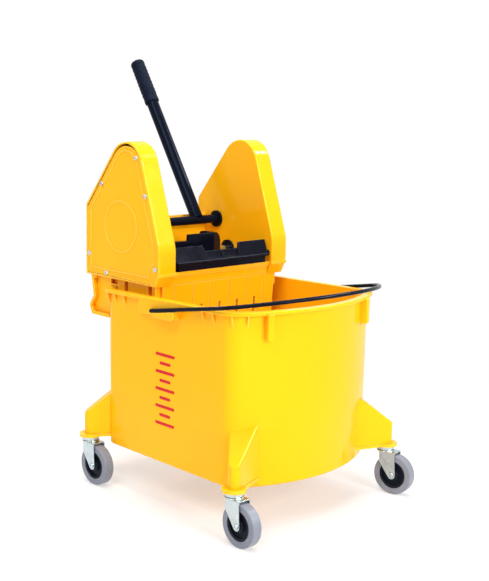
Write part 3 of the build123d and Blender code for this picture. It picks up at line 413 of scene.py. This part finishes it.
@dataclass(frozen=True)
class SoftRubber:
    """Moulded rubber with a fine matt skin, dust and slight colour drift."""

    name: str
    body: Colour
    drift: Colour
    dust: Colour
    roughness: Span
    gloss: float = 0.4
    sheen: Colour = (0.85, 0.92, 1.0)
    ior: float = 1.3
    clouds: Grain = Grain(45.0, 3.0, MIDDLE)
    specks: Grain = Grain(600.0, 5.0, (0.62, 0.8))
    dust_share: float = 0.3
    haze: Grain = Grain(120.0, 3.0)
    edge: float = 0.0007
    skin: Grain = Grain(1100.0, 3.0)
    skin_depth: float = 0.00008

    def make(self) -> bpy.types.Material:
        """Lay the drift and the dust, and raise the skin.

        Returns:
            The finished material.
        """
        bench = ShaderBench(self.name)
        tint = bench.blend(bench.mottle(self.clouds), self.body, self.drift)
        dust = bench.mottle(self.specks, (0.0, self.dust_share))
        bench.wire(bench.layer(dust, tint, self.dust), "Base Color")
        bench.wire(bench.mottle(self.haze, self.roughness), "Roughness")
        skin = bench.bump(bench.noise(self.skin), self.skin_depth, bench.soft_edges(self.edge))
        bench.wire(skin, "Normal")
        bench.set(IOR=self.ior, Specular_IOR_Level=self.gloss, Specular_Tint=rgba(self.sheen))
        return bench.material


@dataclass(frozen=True)
class PrintedInk:
    """Screen-printed ink with pinholes and an uneven gloss."""

    name: str
    body: Colour
    thin: Colour
    roughness: Span = (0.32, 0.48)
    gloss: float = 0.15
    ior: float = 1.5
    film: Grain = Grain(120.0, 4.0)
    pinholes: Grain = Grain(1800.0, 2.0, (0.74, 0.8))
    pinhole_share: float = 0.6
    haze: Grain = Grain(300.0, 2.0)
    skin: Grain = Grain(900.0, 2.0)
    skin_depth: float = 0.00003

    def make(self) -> bpy.types.Material:
        """Lay the uneven film and its pinholes.

        Returns:
            The finished material.
        """
        bench = ShaderBench(self.name)
        tint = bench.blend(bench.mottle(self.film), self.body, self.thin)
        holes = bench.mottle(self.pinholes, (0.0, self.pinhole_share))
        bench.wire(bench.layer(holes, tint, self.thin), "Base Color")
        bench.wire(bench.mottle(self.haze, self.roughness), "Roughness")
        bench.wire(bench.bump(bench.noise(self.skin), self.skin_depth), "Normal")
        bench.set(IOR=self.ior, Specular_IOR_Level=self.gloss)
        return bench.material


class Finish(Enum):
    """Every finish on the object. All but the ink bear the name of the record's slot that they dress."""

    # In each plastic, the recess tint is painted shade.
    # In each plastic, the rim tint is a painted highlight on proud edges.
    YELLOW = MouldedPlastic(
        "yellow_plastic",
        body=(0.97, 0.470, 0.005),
        flow=(0.98, 0.485, 0.006),
        scuff=(0.98, 0.53, 0.02),
        edge_highlight=(1.0, 0.70, 0.10),
        recess_shade=(0.95, 0.240, 0.006),
        roughness=(0.10, 0.18),
        gloss=0.22,
        sheen=(1.0, 0.88, 0.42),
    )
    BLACK = MouldedPlastic(
        "black_plastic",
        body=(0.0036, 0.0038, 0.0085),
        flow=(0.0050, 0.0052, 0.0110),
        scuff=(0.024, 0.026, 0.034),
        edge_highlight=(0.014, 0.016, 0.026),
        recess_shade=(0.0018, 0.0018, 0.0040),
        roughness=(0.10, 0.20),
        gloss=0.20,
        sheen=(0.70, 0.80, 1.0),
        ior=1.28,
        wave_depth=0.0002,
        skin_depth=0.00005,
    )
    CORE = MouldedPlastic(
        "wheel_plastic",
        body=(0.0055, 0.0065, 0.0125),
        flow=(0.0080, 0.0090, 0.0160),
        scuff=(0.030, 0.032, 0.040),
        edge_highlight=(0.036, 0.040, 0.055),
        recess_shade=(0.0030, 0.0030, 0.0060),
        roughness=(0.34, 0.50),
        gloss=0.10,
        sheen=(0.62, 0.74, 1.0),
        wave_depth=0.0001,
        skin_depth=0.00012,
    )
    GEAR = MouldedPlastic(
        "gear_plastic",
        body=(0.70, 0.68, 0.62),
        flow=(0.76, 0.74, 0.69),
        scuff=(0.45, 0.43, 0.38),
        edge_highlight=(0.82, 0.80, 0.75),
        recess_shade=(0.40, 0.38, 0.33),
        roughness=(0.40, 0.55),
    )
    PAINT = PowderCoat(
        "black_paint",
        body=(0.0028, 0.0040, 0.0100),
        bloom=(0.0040, 0.0058, 0.0135),
        chip=(0.04, 0.04, 0.05),
        roughness=(0.12, 0.20),
    )
    WIRE = PowderCoat(
        "black_wire",
        body=(0.0026, 0.0029, 0.0066),
        bloom=(0.0040, 0.0044, 0.0090),
        chip=(0.05, 0.05, 0.06),
        roughness=(0.16, 0.24),
        gloss=0.30,
        peel_depth=0.00002,
    )
    ZINC = PlatedSteel(
        "zinc_steel",
        pale=(0.55, 0.63, 0.66),
        dark=(0.46, 0.53, 0.56),
        roughness=(0.12, 0.24),
    )
    BRIGHT = PlatedSteel(
        "bright_screws",
        pale=(0.74, 0.76, 0.78),
        dark=(0.50, 0.52, 0.55),
        roughness=(0.10, 0.20),
    )
    TYRE = SoftRubber(
        "grey_tyre",
        body=(0.205, 0.222, 0.268),
        drift=(0.232, 0.248, 0.295),
        dust=(0.33, 0.335, 0.36),
        roughness=(0.26, 0.40),
    )
    GRIP = SoftRubber(
        "black_rubber",
        body=(0.0040, 0.0062, 0.0145),
        drift=(0.0058, 0.0085, 0.0185),
        dust=(0.030, 0.034, 0.044),
        roughness=(0.40, 0.56),
        gloss=0.15,
        sheen=(0.60, 0.75, 1.0),
    )
    INK = PrintedInk("red_ink", body=(0.62, 0.008, 0.018), thin=(0.66, 0.020, 0.018))


class Paintbox:
    """Makes each finish once and puts it on nodes and pieces."""

    def __init__(self) -> None:
        """Start with no material made."""
        self.made: dict[Finish, bpy.types.Material] = {}

    def material(self, finish: Finish) -> bpy.types.Material:
        """Make a finish's material on first use, and keep it.

        Args:
            finish: The finish.

        Returns:
            Its material.
        """
        if finish not in self.made:
            self.made[finish] = finish.value.make()
        return self.made[finish]

    def coat(self, obj: bpy.types.Object, finish: Finish) -> None:
        """Put a finish on every slot of an object.

        Args:
            obj: A node or a piece.
            finish: The finish that it gets.
        """
        if not obj.material_slots:
            obj.data.materials.append(self.material(finish))
        for slot in obj.material_slots:
            slot.material = self.material(finish)

    def coat_nodes(self) -> None:
        """Put the finish of each record slot on its nodes."""
        by_slot = {finish.value.name: finish for finish in Finish}
        for part in frame["record"]["subparts"]:
            self.coat(frame["nodes"][part["node"]], by_slot[part["material_slot"]])


class Element(Enum):
    """What a selection is made of: its mode's name, and the mesh's list of it."""

    VERT = "verts"
    FACE = "faces"


class Bench:
    """Modelling moves on one new mesh, by operators as at a workbench."""

    smooth_angle = math.radians(38.0)
    merge_gap = 1e-6

    @staticmethod
    def clear() -> None:
        """Leave edit mode and deselect everything."""
        if bpy.context.object is not None and bpy.context.object.mode != "OBJECT":
            bpy.ops.object.mode_set(mode="OBJECT")
        bpy.ops.object.select_all(action="DESELECT")

    @staticmethod
    def edit() -> None:
        """Enter edit mode with everything selected."""
        bpy.ops.object.mode_set(mode="EDIT")
        bpy.ops.mesh.select_all(action="SELECT")

    @staticmethod
    def pick(element: Element, test: Callable[[bmesh.types.BMVert | bmesh.types.BMFace], bool]) -> None:
        """Select only the vertices or faces that pass a test.

        Args:
            element: What to select.
            test: Takes one and says whether to select it.
        """
        bpy.ops.mesh.select_mode(type=element.name)
        bpy.ops.mesh.select_all(action="DESELECT")
        mesh = bmesh.from_edit_mesh(bpy.context.object.data)
        for item in getattr(mesh, element.value):
            if test(item):
                item.select_set(True)
        mesh.select_flush_mode()
        bmesh.update_edit_mesh(bpy.context.object.data)

    @staticmethod
    def turned(rings: Sequence[Ring], sides: int) -> bpy.types.Object:
        """Make a closed turned body about Z from its profile, ring by ring.

        Args:
            rings: Height and radius of each ring, from one closed end to the other.
            sides: Vertices round each ring.

        Returns:
            The new object, left in edit mode with its faces turned outwards.
        """
        Bench.clear()
        height, radius = rings[0]
        bpy.ops.mesh.primitive_circle_add(
            vertices=sides, radius=radius, fill_type="NGON", location=(0.0, 0.0, height)
        )
        bpy.ops.object.transform_apply(location=True)
        Bench.edit()
        bpy.ops.mesh.select_mode(type="EDGE")
        for (low, small), (high, large) in zip(rings, rings[1:]):
            bpy.ops.mesh.extrude_edges_move(TRANSFORM_OT_translate={"value": (0.0, 0.0, high - low)})
            growth = large / small
            bpy.ops.transform.resize(value=(growth, growth, 1.0), center_override=(0.0, 0.0, high))
        bpy.ops.mesh.edge_face_add()
        bpy.ops.mesh.select_all(action="SELECT")
        bpy.ops.mesh.normals_make_consistent(inside=False)
        return bpy.context.object

    @staticmethod
    def close() -> None:
        """Merge doubles, turn the faces outwards and leave edit mode."""
        bpy.ops.mesh.select_all(action="SELECT")
        bpy.ops.mesh.remove_doubles(threshold=Bench.merge_gap)
        bpy.ops.mesh.normals_make_consistent(inside=False)
        bpy.ops.object.mode_set(mode="OBJECT")

    @staticmethod
    def refine(obj: bpy.types.Object, levels: int) -> None:
        """Subdivide a piece smoothly and keep the result.

        Args:
            obj: The piece.
            levels: How many times each face is divided.
        """
        modifier = obj.modifiers.new("refine", "SUBSURF")
        modifier.levels = levels
        modifier.render_levels = levels
        bpy.context.view_layer.objects.active = obj
        bpy.ops.object.modifier_apply(modifier=modifier.name)

    @staticmethod
    def settle(obj: bpy.types.Object, name: str, place: Matrix) -> bpy.types.Object:
        """Put a finished piece in its place with its object at the origin.

        Args:
            obj: The piece, modelled about its own origin.
            name: Its name.
            place: Where it goes in the row frame.

        Returns:
            The piece.
        """
        Bench.clear()
        obj.name = name
        obj.data.name = name
        obj.matrix_world = place
        obj.select_set(True)
        bpy.context.view_layer.objects.active = obj
        bpy.ops.object.transform_apply(location=True, rotation=True, scale=True)
        bpy.ops.object.shade_smooth_by_angle(angle=Bench.smooth_angle)
        obj.select_set(False)
        return obj

    @staticmethod
    def joined(parts: Sequence[bpy.types.Object], name: str) -> bpy.types.Object:
        """Join several pieces into one.

        Args:
            parts: The pieces, each already in place.
            name: The joined piece's name.

        Returns:
            The joined piece.
        """
        Bench.clear()
        for part in parts:
            part.select_set(True)
        bpy.context.view_layer.objects.active = parts[0]
        bpy.ops.object.join()
        whole = bpy.context.object
        whole.name = name
        whole.data.name = name
        whole.select_set(False)
        return whole


@dataclass
class Lever:
    """The lever's grip, a moulded sleeve with rows of nubs.

    The crown is the plain end above the nubs. Each of its rings is given by its drop from the top
    and by its step out from the tip's radius.
    """

    length: float = 0.366
    grip_length: float = 0.098
    tube_radius: float = 0.0122
    mouth_radius: float = 0.0149
    body_radius: float = 0.0144
    tip_radius: float = 0.0139
    cap: float = 0.004
    seat_share: float = 0.4
    collar: float = 0.009
    collar_round: float = 0.0012
    crown: float = 0.012
    crown_rings: tuple[Ring, ...] = ((0.010, 0.0006), (0.0045, 0.0005), (0.0015, -0.0015), (0.0, -0.0050))
    end_share: float = 0.3
    sides: int = 32
    rows: int = 18
    upright: float = 0.9
    nub_inset: float = 0.0006
    nub_rise: float = 0.0008
    smoothing: int = 1

    @property
    def nubs(self) -> Span:
        """Give the heights between which the rows of nubs lie."""
        return (self.length - self.grip_length + self.collar, self.length - self.crown)

    @property
    def row_step(self) -> float:
        """Give the height of one row."""
        return (self.nubs[1] - self.nubs[0]) / self.rows

    def place(self) -> Matrix:
        """Find the lever's own frame, with its length along Z.

        Returns:
            The frame, at the lever's pivot and with the lean of its hand mount.
        """
        hand = next(mount for mount in frame["record"]["mounts"] if mount["name"] == "lever_hand")
        pivot = joint_place("lever_turn")
        pivot.x = hand["pos_m"][0]
        lean = math.atan2(hand["axis"][1], hand["axis"][2])
        return Matrix.Translation(pivot) @ Matrix.Rotation(-lean, 4, "X")

    def profile(self) -> list[Ring]:
        """List the sleeve's rings, from the seat of the tube's end, round the mouth, to the tip.

        Returns:
            Height and radius of each ring.
        """
        mouth = self.length - self.grip_length
        collar_end, nubs_end = self.nubs
        rings = [
            (self.length - self.cap, self.tube_radius * self.seat_share),
            (self.length - self.cap, self.tube_radius),
            (mouth, self.tube_radius),
            (mouth, self.mouth_radius - self.collar_round),
            (mouth + self.collar_round, self.mouth_radius),
            (collar_end - self.collar_round, self.mouth_radius),
            (collar_end, self.body_radius),
        ]
        for row in range(1, self.rows + 1):
            share = row / self.rows
            height = collar_end + share * (nubs_end - collar_end)
            rings.append((height, self.body_radius + share * (self.tip_radius - self.body_radius)))
        rings += [(self.length - drop, self.tip_radius + step) for drop, step in self.crown_rings]
        rings.append((self.length, self.tip_radius * self.end_share))
        return rings

    def carries_nub(self, face: bmesh.types.BMFace) -> bool:
        """Say whether a face of the outer wall carries a nub.

        Args:
            face: A face of the sleeve.

        Returns:
            True on every second face of every second row, staggered.
        """
        centre = face.calc_center_median()
        low, high = self.nubs
        in_rows = low + self.row_step < centre.z < high - self.row_step
        outside = centre.xy.length > (self.tube_radius + self.tip_radius) / 2
        if not in_rows or not outside or face.normal.xy.length < self.upright:
            return False
        row = int((centre.z - low) / self.row_step)
        sector = 2.0 * math.pi / self.sides
        column = math.floor(math.atan2(centre.y, centre.x) / sector)
        return row % 2 == 0 and (column + row // 2) % 2 == 0

    def grip(self, paint: Paintbox) -> bpy.types.Object:
        """Model the grip sleeve.

        Args:
            paint: The finishes.

        Returns:
            The grip, in place.
        """
        sleeve = Bench.turned(self.profile(), self.sides)
        Bench.pick(Element.FACE, self.carries_nub)
        bpy.ops.mesh.inset(thickness=self.nub_inset, depth=self.nub_rise, use_individual=True)
        Bench.close()
        Bench.refine(sleeve, self.smoothing)
        piece = Bench.settle(sleeve, "grip_sleeve", self.place())
        paint.coat(piece, Finish.GRIP)
        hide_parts("lever_grip")
        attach(piece, "lever")
        return piece


class Corner(Enum):
    """The bucket's corners, each with its caster."""

    FRONT_LEFT = "front_left"
    FRONT_RIGHT = "front_right"
    REAR_LEFT = "rear_left"
    REAR_RIGHT = "rear_right"


@dataclass
class Caster:
    """One caster's rolled dust lip, round the race on its fork."""

    corner: Corner
    crown_z: float = 0.0807
    race_radius: float = 0.0145
    lip: float = 0.0013
    foot_share: float = 0.35
    steps_round: int = 56
    steps_across: int = 14

    def dust_lip(self, paint: Paintbox) -> bpy.types.Object:
        """Model the lip as a rolled ring with a flat foot on the fork's crown.

        Args:
            paint: The finishes.

        Returns:
            The ring, in place.
        """
        Bench.clear()
        bpy.ops.mesh.primitive_torus_add(
            major_segments=self.steps_round,
            minor_segments=self.steps_across,
            major_radius=self.race_radius + self.lip,
            minor_radius=self.lip,
        )
        ring = bpy.context.object
        Bench.edit()
        foot = -self.foot_share * self.lip
        Bench.pick(Element.VERT, lambda vert: vert.co.z < foot)
        bpy.ops.transform.resize(value=(1.0, 1.0, 0.0), center_override=(0.0, 0.0, foot))
        Bench.close()
        name = self.corner.value
        centre = joint_place(f"{name}_swivel")
        centre.z = self.crown_z - foot
        piece = Bench.settle(ring, f"{name}_dust_lip", Matrix.Translation(centre))
        paint.coat(piece, Finish.ZINC)
        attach(piece, f"{name}_swivel_body")
        return piece


@dataclass
class Tub:
    """The bucket's printed level gauge and the fill lines moulded inside its bowed wall."""

    bow_radius: float = 0.2955
    bow_centre_y: float = 0.0805
    wall: float = 0.004
    floor_z: float = 0.082
    mouth_z: float = 0.377
    draft: float = 0.001
    line_levels: tuple[float, ...] = (0.150, 0.205, 0.260, 0.315)
    line_half_turn: float = math.radians(19.0)
    line_rise: float = 0.0020
    line_height: float = 0.0024
    line_round: float = 0.0005
    line_round_steps: int = 2
    line_steps: int = 36
    side_low_x: float = 0.170
    side_low_z: float = 0.077
    side_high_x: float = 0.171
    side_high_z: float = 0.368
    gauge_y: float = 0.008
    gauge_low_z: float = 0.150
    gauge_high_z: float = 0.275
    bars: int = 9
    long_bar: float = 0.052
    short_bar: float = 0.030
    bar_height: float = 0.0055
    bar_round_share: float = 0.49
    bar_round_steps: int = 5
    ink: float = 0.0003

    def wall_x(self, z: float) -> float:
        """Return how far out the drafted side wall stands at a height."""
        share = (z - self.side_low_z) / (self.side_high_z - self.side_low_z)
        return self.side_low_x + share * (self.side_high_x - self.side_low_x)

    def bar(self, length: float) -> bpy.types.Object:
        """Model one round-ended bar, flat in X and Y, as thick as two films of ink along Z.

        Args:
            length: Its length along X.

        Returns:
            The bar as a new object.
        """
        Bench.clear()
        bpy.ops.mesh.primitive_plane_add(size=1.0)
        bpy.ops.transform.resize(value=(length, self.bar_height, 1.0))
        bpy.ops.object.transform_apply(scale=True)
        Bench.edit()
        bpy.ops.mesh.bevel(
            offset=self.bar_height * self.bar_round_share, segments=self.bar_round_steps, affect="VERTICES"
        )
        bpy.ops.mesh.extrude_region_move(TRANSFORM_OT_translate={"value": (0.0, 0.0, 2 * self.ink)})
        Bench.close()
        return bpy.context.object

    def gauge(self, paint: Paintbox) -> bpy.types.Object:
        """Print the level gauge on the side wall: bars with no figures.

        Args:
            paint: The finishes.

        Returns:
            The gauge, in place.
        """
        pieces = []
        step = (self.gauge_high_z - self.gauge_low_z) / (self.bars - 1)
        slope = math.atan2(self.side_high_x - self.side_low_x, self.side_high_z - self.side_low_z)
        # A bar's length lies along the wall, its height points up and its thickness points out.
        turn = Matrix(((0, 0, -1), (-1, 0, 0), (0, 1, 0))).to_4x4()
        for number in range(self.bars):
            z = self.gauge_low_z + number * step
            bar = self.bar(self.short_bar if number % 2 else self.long_bar)
            out = Vector((-self.wall_x(z) + self.ink, self.gauge_y, z))
            place = Matrix.Translation(out) @ Matrix.Rotation(-slope, 4, "Y") @ turn
            pieces.append(Bench.settle(bar, f"gauge_bar_{number}", place))
        gauge = Bench.joined(pieces, "level_gauge")
        paint.coat(gauge, Finish.INK)
        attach(gauge, "bucket")
        return gauge

    def fill_line(self, level: float) -> bpy.types.Object:
        """Spin one raised line along the inside of the bowed wall.

        Args:
            level: Its height above the floor.

        Returns:
            The line as a new object.
        """
        Bench.clear()
        bpy.ops.mesh.primitive_plane_add(size=1.0)
        section = bpy.context.object
        lean = self.draft * (self.mouth_z - level) / (self.mouth_z - self.floor_z)
        inner = self.bow_radius - self.wall - lean
        centre = Vector((0.0, self.bow_centre_y, level))
        section.matrix_world = (
            Matrix.Translation(centre)
            @ Matrix.Rotation(self.line_half_turn, 4, "Z")
            @ Matrix.Translation(Vector((0.0, -inner, 0.0)))
            @ Matrix.Rotation(math.pi / 2, 4, "Y")
            @ Matrix.Diagonal(Vector((self.line_height, self.line_rise, 1.0, 1.0)))
        )
        bpy.ops.object.transform_apply(location=True, rotation=True, scale=True)
        Bench.edit()
        bpy.ops.mesh.bevel(offset=self.line_round, segments=self.line_round_steps, affect="VERTICES")
        bpy.ops.mesh.select_all(action="SELECT")
        bpy.ops.mesh.spin(
            steps=self.line_steps, angle=2 * self.line_half_turn, center=centre, axis=(0.0, 0.0, 1.0)
        )
        Bench.close()
        return Bench.settle(section, "fill_line", Matrix.Identity(4))

    def fill_lines(self, paint: Paintbox) -> bpy.types.Object:
        """Mould the fill lines inside the tub.

        Args:
            paint: The finishes.

        Returns:
            The lines as one piece.
        """
        lines = Bench.joined([self.fill_line(level) for level in self.line_levels], "fill_lines")
        paint.coat(lines, Finish.YELLOW)
        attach(lines, "bucket")
        return lines


@dataclass
class Softbox:
    """One square soft lamp, which may show in glossy faces alone."""

    name: str
    place: Point
    size: float
    watts: float
    gloss_only: bool = False

    def hang(self, target: Point) -> None:
        """Hang the lamp so that it faces a point.

        Args:
            target: The point that it lights.
        """
        lamp = bpy.data.lights.new(self.name, "AREA")
        lamp.size = self.size
        lamp.energy = self.watts
        obj = bpy.data.objects.new(self.name, lamp)
        obj.visible_diffuse = not self.gloss_only
        obj.location = self.place
        aim = Vector(target) - Vector(self.place)
        obj.rotation_euler = aim.to_track_quat("-Z", "Y").to_euler()
        bpy.context.scene.collection.objects.link(obj)


@dataclass
class Studio:
    """Camera, lamps, white surround and a pale floor that keeps the shadow."""

    camera_at: Point = (-1.39324, -1.46889, 0.72689)
    azimuth: float = math.radians(-43.69)
    pitch: float = math.radians(9.90)
    roll: float = math.radians(1.22)
    focal_pixels: float = 1123.44
    frame_pixels: float = 581.0
    film: float = 36.0
    far_clip: float = 100.0
    target: Point = (0.0, 0.0, 0.36)
    lamps: tuple[Softbox, ...] = (
        Softbox("key", (-0.2, -2.9, 1.4), 1.2, 67.0),
        Softbox("spark", (1.3, -2.47, 1.83), 0.8, 120.0, gloss_only=True),
        Softbox("kicker", (2.0, -1.0, 2.4), 0.5, 40.0, gloss_only=True),
        Softbox("fill", (-2.0, -0.7, 2.7), 1.4, 42.0),
        Softbox("top", (0.0, 0.0, 2.8), 1.0, 46.0),
        Softbox("back", (0.8, 2.8, 1.9), 1.2, 40.0),
    )
    ambient: float = 0.46
    floor_half: float = 12.0
    floor_tint: Colour = (0.90, 0.90, 0.90)
    floor_clear: Span = (0.55, 1.1)
    floor_lift: float = 0.45

    def stand_camera(self) -> None:
        """Stand the camera where the photograph was taken."""
        data = bpy.data.cameras.new("photo_camera")
        data.sensor_fit = "VERTICAL"
        data.sensor_height = self.film
        data.lens = self.focal_pixels / self.frame_pixels * self.film
        data.clip_end = self.far_clip
        ahead = Vector((
            -math.sin(self.azimuth) * math.cos(self.pitch),
            math.cos(self.azimuth) * math.cos(self.pitch),
            -math.sin(self.pitch),
        ))
        level = Vector((math.cos(self.azimuth), math.sin(self.azimuth), 0.0))
        above = level.cross(ahead)
        right = level * math.cos(self.roll) + above * math.sin(self.roll)
        up = above * math.cos(self.roll) - level * math.sin(self.roll)
        turn = Matrix((right, up, -ahead)).transposed().to_4x4()
        obj = bpy.data.objects.new("photo_camera", data)
        obj.matrix_world = Matrix.Translation(Vector(self.camera_at)) @ turn
        bpy.context.scene.collection.objects.link(obj)
        bpy.context.scene.camera = obj

    @staticmethod
    def plain_rays(nodes: bpy.types.Nodes, links: bpy.types.NodeLinks) -> Socket:
        """Tell the rays that show the surround from those that light the object.

        Args:
            nodes: The nodes of the world or of a material.
            links: Its links.

        Returns:
            A factor that is 1 for rays from the camera, a gloss or a clear piece.
        """
        paths = nodes.new("ShaderNodeLightPath")
        factor = paths.outputs["Is Camera Ray"]
        for ray in ("Is Glossy Ray", "Is Transmission Ray"):
            node = nodes.new("ShaderNodeMath")
            node.operation = "MAXIMUM"
            links.new(factor, node.inputs[0])
            links.new(paths.outputs[ray], node.inputs[1])
            factor = node.outputs["Value"]
        return factor

    def light_surround(self) -> None:
        """Light the world evenly and show it as white."""
        world = bpy.data.worlds.new("white_surround")
        bpy.context.scene.world = world
        world.use_nodes = True
        nodes, links = world.node_tree.nodes, world.node_tree.links
        nodes.clear()
        strength = nodes.new("ShaderNodeMapRange")
        strength.inputs["To Min"].default_value = self.ambient
        strength.inputs["To Max"].default_value = 1.0
        links.new(self.plain_rays(nodes, links), strength.inputs["Value"])
        light = nodes.new("ShaderNodeBackground")
        light.inputs["Color"].default_value = rgba((1.0, 1.0, 1.0))
        links.new(strength.outputs["Result"], light.inputs["Strength"])
        output = nodes.new("ShaderNodeOutputWorld")
        links.new(light.outputs["Background"], output.inputs["Surface"])

    def floor_material(self) -> bpy.types.Material:
        """Make the floor's finish, matt near the object and plain white far from it.

        Returns:
            The material.
        """
        material = bpy.data.materials.new("pale_floor")
        material.use_nodes = True
        nodes, links = material.node_tree.nodes, material.node_tree.links
        nodes.clear()
        coords = nodes.new("ShaderNodeTexCoord")
        reach = nodes.new("ShaderNodeVectorMath")
        reach.operation = "LENGTH"
        links.new(coords.outputs["Object"], reach.inputs[0])
        fade = nodes.new("ShaderNodeMapRange")
        fade.interpolation_type = "SMOOTHERSTEP"
        fade.inputs["From Min"].default_value, fade.inputs["From Max"].default_value = self.floor_clear
        fade.inputs["To Min"].default_value = self.floor_lift
        links.new(reach.outputs["Value"], fade.inputs["Value"])
        share = nodes.new("ShaderNodeMath")
        share.operation = "MULTIPLY"
        links.new(fade.outputs["Result"], share.inputs[0])
        links.new(self.plain_rays(nodes, links), share.inputs[1])
        matt = nodes.new("ShaderNodeBsdfDiffuse")
        matt.inputs["Color"].default_value = rgba(self.floor_tint)
        white = nodes.new("ShaderNodeEmission")
        mixed = nodes.new("ShaderNodeMixShader")
        links.new(share.outputs["Value"], mixed.inputs["Fac"])
        links.new(matt.outputs["BSDF"], mixed.inputs[1])
        links.new(white.outputs["Emission"], mixed.inputs[2])
        output = nodes.new("ShaderNodeOutputMaterial")
        links.new(mixed.outputs["Shader"], output.inputs["Surface"])
        return material

    def lay_floor(self) -> None:
        """Lay the pale floor under the object."""
        Bench.clear()
        bpy.ops.mesh.primitive_plane_add(size=2 * self.floor_half)
        ground = bpy.context.object
        ground.name = "studio_floor"
        ground.data.materials.append(self.floor_material())
        ground.select_set(False)

    def open(self) -> None:
        """Set up the whole studio."""
        bpy.context.scene.view_settings.view_transform = "Standard"
        self.stand_camera()
        for lamp in self.lamps:
            lamp.hang(self.target)
        self.light_surround()
        self.lay_floor()


def main() -> None:
    """Build every piece in order and report each one."""
    logging.basicConfig(level=logging.INFO, format="%(name)s %(message)s")
    paint = Paintbox()
    paint.coat_nodes()
    tub = Tub()
    pieces = [Lever().grip(paint), tub.gauge(paint), tub.fill_lines(paint)]
    pieces += [Caster(corner).dust_lip(paint) for corner in Corner]
    for piece in pieces:
        log.info("made %s with %d faces", piece.name, len(piece.data.polygons))
    Studio().open()


if __name__ == "__main__":
    main()
